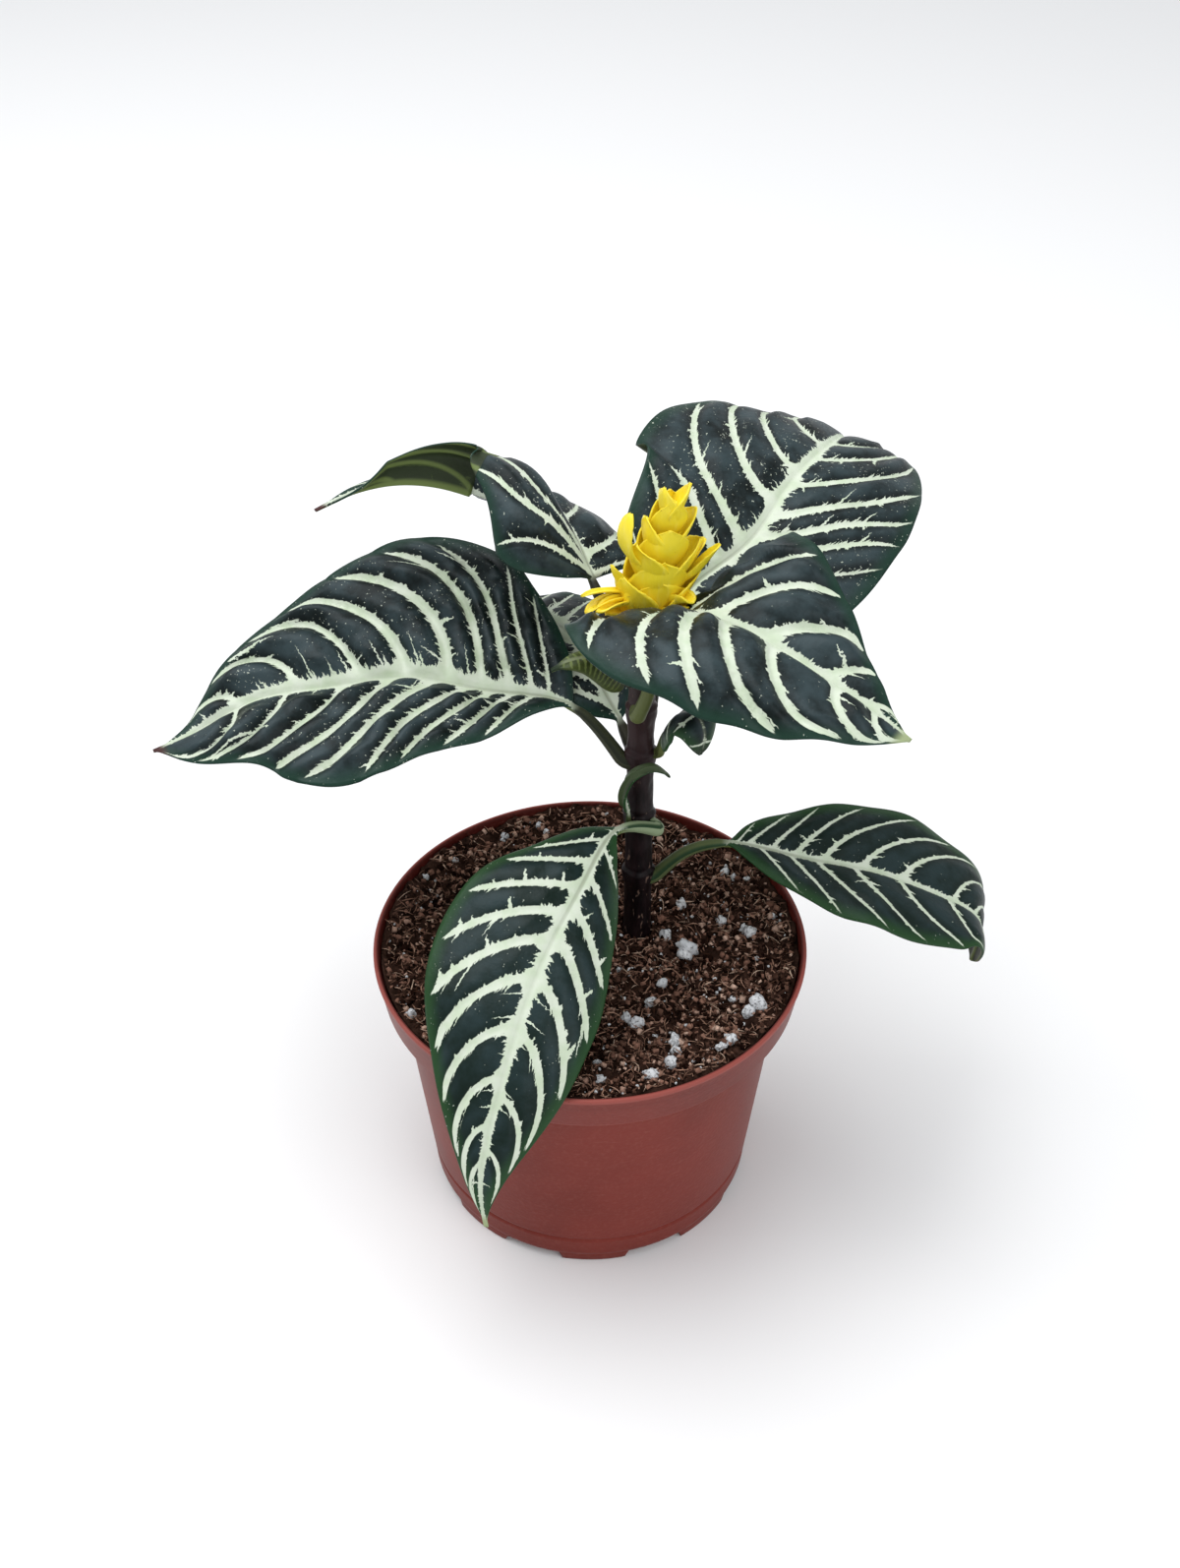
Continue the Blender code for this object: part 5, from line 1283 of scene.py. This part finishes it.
def lumpy_grains(shape, quads, places, radii):
    """Copies of a ball, each stretched, turned and dented in its own way, as points and faces."""
    sizes = radii[:, None] * draw.uniform(0.75, 1.2, (len(places), 3))
    dents = np.stack([ripples(shape[:, 0] + 3 * number, shape[:, 1] + shape[:, 2], 1.0, 60 + number % 7)
                      for number in range(len(places))])
    return copies(draw, shape * (1 + DENT_SHARE * dents)[..., None], quads, places, sizes)


big = np.array(BIG_GRAINS)
big_places = np.stack([big[:, 0], big[:, 1], soil_surface(big[:, 0], big[:, 1]) + 0.5 * big[:, 2]], -1)
big_points, big_faces = lumpy_grains(*ball(6), big_places, big[:, 2])
small_places = spread_places(draw, SMALL_GRAIN_COUNT, 0.1, 0.7)
small_radii = draw.uniform(0.18, 0.62, len(small_places)) ** 1.3
small_points, small_faces = lumpy_grains(*ball(2), small_places, small_radii)
grain_points = np.concatenate([big_points, small_points])
grain_faces = np.concatenate([big_faces, small_faces + len(big_points)])
make_piece("perlite", grain_points, grain_faces.tolist(), [perlite_finish()])

# %% [markdown]
# ## The stem
# The stem is a dark, nearly black tube with a purple cast. It swells at each node, where old leaves have left
# a ring, and carries pale corky dots low down. A tube is a ring of points for each height, and the nodes
# and ridges only change the ring's radius.


# %% Stem finish and stem
def stem_finish():
    """Near-black purple, paler corky dots low on the stem, and a greener tone at its top."""
    finish = Finish("stem skin", (0.014, 0.007, 0.008), 0.45, 0.16)
    tall = finish.height()
    cloud = finish.place((1.0, 1.0, 0.25)).noise(420.0, 4.0, 0.6)
    bark = cloud.ramp(0.35, 0.7).blend((0.003, 0.0015, 0.002), (0.014, 0.007, 0.008))
    bark = tall.ramp(0.155, 0.178).blend(bark, (0.050, 0.045, 0.018))
    bark = tall.ramp(0.125, 0.150, 0.0, 0.6).blend(bark, (0.040, 0.018, 0.019))
    dots = finish.place((1.0, 1.0, 0.45)).noise(760.0, 1.0).ramp(0.68, 0.74)
    dots = dots * tall.ramp(0.085, 0.135, 0.8, 0.15)
    finish.link("Base Color", dots.blend(bark, (0.20, 0.13, 0.10)))
    finish.bump(cloud + dots, 0.0003, 0.6)
    return finish.material


STEM_RINGS = 240
STEM_SIDES = 64
SCAR_REACH = 0.5
heights = np.linspace(STEM_FOOT, STEM_TOP, STEM_RINGS)[:, None]
stem_turn = circle(STEM_SIDES)[None, :]
radius = stem_radius(heights)
for node in NODE_HEIGHTS:
    radius = radius + (0.35 * np.exp(-((heights - node - 1.8) / SCAR_REACH) ** 2)
                       - 0.3 * np.exp(-((heights - node - 3.0) / SCAR_REACH) ** 2))
flute = 0.10 * np.cos(4 * stem_turn) + 0.05 * ripples(5 * stem_turn, heights * 0.8, 4.0, 31)
stem_rings = rings(radius * (1 + 0.4 * flute), stem_turn, heights, (STEM_X, STEM_Y))
stem_faces = tube_faces(STEM_RINGS, STEM_SIDES)
make_piece("dressed_stem", stem_rings, stem_faces, [stem_finish()], ("stem",))

# %% [markdown]
# ## The flower spike
# What looks like a flower is a spike of bracts, which are waxy yellow leaves that overlap like roof tiles in
# crossed pairs. One function makes a bract as a thin bent plate with a pointed tip, and a loop over the
# tiers gives each its height, length and lean. They share one mesh with a slim core.

# %% Bract shape
FLOWER_HEIGHT = 37.0
FLOWER_LEAN = 6.5
BRACT_TIERS = 8
BRACT_RISE = 4.25
LOWEST_BRACT = 1.8
BRACT_LENGTH = (15.5, 9.5)
BRACT_WIDTH = (20.5, 9.5)
BRACT_BEND = (10.5, 5.0)
BRACT_POINT = (0.78, 1.0)
BRACT_JITTER = (12.0, 0.8, 0.12)
BRACT_PAIRS = ((-76.0, 100.0), (3.0, 206.0))
FRONT_FLARE = 16.0
SIDE_FLARE = 29.0
BRACT_CURL = -4.0
BRACT_THICKNESS = 0.6
BRACT_SINK = 0.9
LOOSE_POINT = 0.6
CORE_HEIGHTS = np.array([0.0, 0.6, 6.0, 14.0, 24.0, 33.0, 35.0])
CORE_RADII = np.array([0.0, 3.6, 5.6, 5.4, 3.8, 2.0, 0.0])
CORE_RINGS, CORE_SIDES = 40, 32
ROWS, COLUMNS = 24, 21
LOOSE_BRACTS = [
    (18.7, 208.0, 20.0, 8.0, 54.0, -60.0, 7.0), (12.0, 202.0, 12.5, 6.0, 54.0, -24.0, 2.2),
    (11.5, 204.0, 15.5, 3.2, 66.0, 24.0, 1.3), (10.0, 210.0, 14.5, 5.5, 66.0, 44.0, 1.6),
    (9.0, 218.0, 13.0, 7.0, 64.0, 30.0, 2.2), (4.0, 216.0, 11.0, 9.0, 52.0, 20.0, 3.0),
    (6.5, 226.0, 11.5, 7.5, 50.0, -50.0, 2.4), (12.0, -14.0, 17.0, 7.0, 37.0, -8.0, 2.4),
    (13.0, 14.0, 13.0, 8.5, 30.0, -4.0, 4.0), (9.0, -44.0, 9.5, 8.5, 44.0, 40.0, 2.2),
    (6.0, -34.0, 10.5, 8.0, 58.0, 20.0, 2.2), (4.0, -56.0, 8.5, 7.0, 50.0, -40.0, 2.0),
]


def bract(height, azimuth, length, width, flare, curl, bend, point, seed):
    """A waxy plate that rises from the core. Its lean grows evenly from the flare by the curl, so it lies on
    an arc, and it bends round another arc across its width. It has fine ribs, and teeth near the tip."""
    u = np.linspace(0.0, 1.0, ROWS)[:, None]
    w = np.linspace(-1.0, 1.0, COLUMNS)[None, :]
    start, turn = math.radians(flare), math.radians(curl)
    lean = start + turn * u
    core = float(np.interp(height, CORE_HEIGHTS, CORE_RADII)) - BRACT_SINK
    reach = core + length / turn * (math.cos(start) - np.cos(lean)) + 0.08 * length * np.sin(np.pi * u)
    rise = height + length / turn * (np.sin(lean) - math.sin(start))
    teeth = 1 + 0.09 * np.clip((u - 0.55) / 0.2, 0, 1) * (1 - (7.0 * u) % 1.0)
    half = np.maximum(width / 2 * half_width(0.1 + 0.895 * u, 0.6, point), 0.3) * teeth
    across_turn = np.clip(half * w / bend, -2.7, 2.7)
    ribs = 0.06 * np.cos(9 * np.pi * w) * np.sin(np.pi * u) + 0.35 * ripples(5 * u, 3 * w, 4.0, seed) * u
    skins = []
    for inset in (0.0, BRACT_THICKNESS):
        back = inset * (1 - 0.5 * u) + (bend - inset) * (1 - np.cos(across_turn)) - ribs
        out = reach - back * np.cos(lean)
        skins.append(np.stack([out, (bend - inset) * np.sin(across_turn), rise + back * np.sin(lean)], -1))
    ring = np.concatenate([skins[0], skins[1][:, ::-1]], axis=1)
    spin = math.radians(azimuth)
    x = ring[..., 0] * math.cos(spin) - ring[..., 1] * math.sin(spin)
    y = ring[..., 0] * math.sin(spin) + ring[..., 1] * math.cos(spin)
    return np.stack([x, y, ring[..., 2]], -1)


def on_spike(points):
    """Leans points about the flower's foot and sets them on the stem."""
    x, y, z = np.moveaxis(points, -1, 0)
    return np.stack([x + STEM_X + FLOWER_LEAN * z / FLOWER_HEIGHT, y + STEM_Y, z + STEM_TOP + GAP], -1)


def bract_finish():
    """Waxy lemon yellow, with painted shade that deepens it to gold low on the spike, faint ribs and a few
    brown specks.
    """
    finish = Finish("yellow bract", (0.86, 0.64, 0.02), 0.38)
    # Painted shade: a darker gold low on the spike, lemon above.
    height = finish.place().noise(160.0, 3.0).scaled(0.012, finish.height())
    yellow = height.ramp(0.182, 0.206).blend((0.86, 0.55, 0.010), (0.92, 0.75, 0.030))
    fine = finish.place((1.0, 1.0, 0.2)).noise(900.0, 3.0)
    yellow = fine.ramp(0.5, 0.8, 0.0, 0.3).blend(yellow, (0.95, 0.84, 0.18))
    specks = finish.place().noise(420.0).ramp(0.73, 0.77, 0.0, 0.6)
    finish.link("Base Color", specks.blend(yellow, (0.25, 0.11, 0.01)))
    finish.bump(fine, 0.0003, 0.5)
    return finish.material


# %% Make the flower
def tier_value(pair, share):
    """Goes evenly from a pair's first value at the lowest tier to its second at the top one."""
    return pair[0] + (pair[1] - pair[0]) * share


plates = []
draw = np.random.default_rng(12)
for tier in range(BRACT_TIERS):
    share = tier / (BRACT_TIERS - 1)
    flare = (SIDE_FLARE if tier % 2 else FRONT_FLARE) * (1 - 0.5 * share)
    length, width, bend, point = (tier_value(pair, share)
                                  for pair in (BRACT_LENGTH, BRACT_WIDTH, BRACT_BEND, BRACT_POINT))
    for azimuth in BRACT_PAIRS[tier % 2]:
        turned, lifted, grown = np.array(BRACT_JITTER) * draw.uniform(-1.0, 1.0, 3)
        plates.append(bract(LOWEST_BRACT + BRACT_RISE * tier + lifted, azimuth + turned, length,
                            width * (1 + grown), flare, BRACT_CURL, bend, point, 70 + len(plates)))
for row in LOOSE_BRACTS:
    plates.append(bract(*row, LOOSE_POINT, 70 + len(plates)))
plates = np.stack(plates)
core_levels = np.linspace(CORE_HEIGHTS[0] + 0.05, CORE_HEIGHTS[-1] - 0.1, CORE_RINGS)[:, None]
core_rings = rings(np.interp(core_levels, CORE_HEIGHTS, CORE_RADII), circle(CORE_SIDES), core_levels)
flower_points = on_spike(np.concatenate([plates.reshape(-1, 3), core_rings.reshape(-1, 3)]))
flower_faces = [*tube_faces(ROWS, 2 * COLUMNS, len(plates)),
                *tube_faces(CORE_RINGS, CORE_SIDES, first=plates[..., 0].size)]
make_piece("dressed_flower", flower_points, flower_faces, [bract_finish()], ("flower",))

# %% [markdown]
# ## Camera, floor and light
# The photograph looks down on the plant from the front at about forty degrees, from half a metre away.
# The light is soft and comes from all round, with a broad lamp above that gives the leaves their sheen.

# %% Camera, floor and light
CAMERA_TILT = 39.2
CAMERA_LENS = 45.17
CAMERA_SENSOR = 36.0
CAMERA_BACK = 392.12
CAMERA_HEIGHT = 456.91
FLOOR_HALF = 4
FLOOR_GREY = (0.88, 0.88, 0.88)
SKY_COLOUR = (0.95, 0.97, 1.0, 1.0)
SKY_STRENGTH = 0.65
scene = bpy.context.scene
camera = bpy.data.objects.new("camera", bpy.data.cameras.new("camera"))
camera.data.lens = CAMERA_LENS
camera.data.sensor_width = CAMERA_SENSOR
camera.location = (POT_AXIS[0] * MM, (POT_AXIS[1] - CAMERA_BACK) * MM, CAMERA_HEIGHT * MM)
camera.rotation_euler = (math.radians(90 - CAMERA_TILT), 0.0, 0.0)
scene.collection.objects.link(camera)
scene.camera = camera

floor_mesh = bpy.data.meshes.new("floor")
floor_corners = [(-FLOOR_HALF, -FLOOR_HALF, 0), (FLOOR_HALF, -FLOOR_HALF, 0),
                 (FLOOR_HALF, FLOOR_HALF, 0), (-FLOOR_HALF, FLOOR_HALF, 0)]
floor_mesh.from_pydata(floor_corners, [], [(0, 1, 2, 3)])
floor = bpy.data.objects.new("floor", floor_mesh)
floor_mesh.materials.append(Finish("pale floor", FLOOR_GREY, 0.9).material)
scene.collection.objects.link(floor)


def soft_lamp(name, place, aim, size, power):
    """A square lamp at a place, turned to look at a point."""
    lamp = bpy.data.objects.new(name, bpy.data.lights.new(name, "AREA"))
    lamp.data.energy = power
    lamp.data.size = size
    lamp.location = place
    away = np.array(place) - np.array(aim)
    away /= np.linalg.norm(away)
    lamp.rotation_euler = (math.acos(away[2]), 0.0, math.atan2(away[1], away[0]) + math.pi / 2)
    scene.collection.objects.link(lamp)
    return lamp


soft_lamp("lamp above", (-0.35, 0.15, 1.15), (0.0, 0.0, 0.12), 1.1, 12.0)
soft_lamp("lamp front", (0.7, -0.9, 0.9), (0.0, 0.0, 0.1), 0.9, 5.0)
world = bpy.data.worlds.new("soft sky")
scene.world = world
world.use_nodes = True
world.node_tree.nodes["Background"].inputs[0].default_value = SKY_COLOUR
world.node_tree.nodes["Background"].inputs[1].default_value = SKY_STRENGTH
scene.view_settings.view_transform = "Standard"
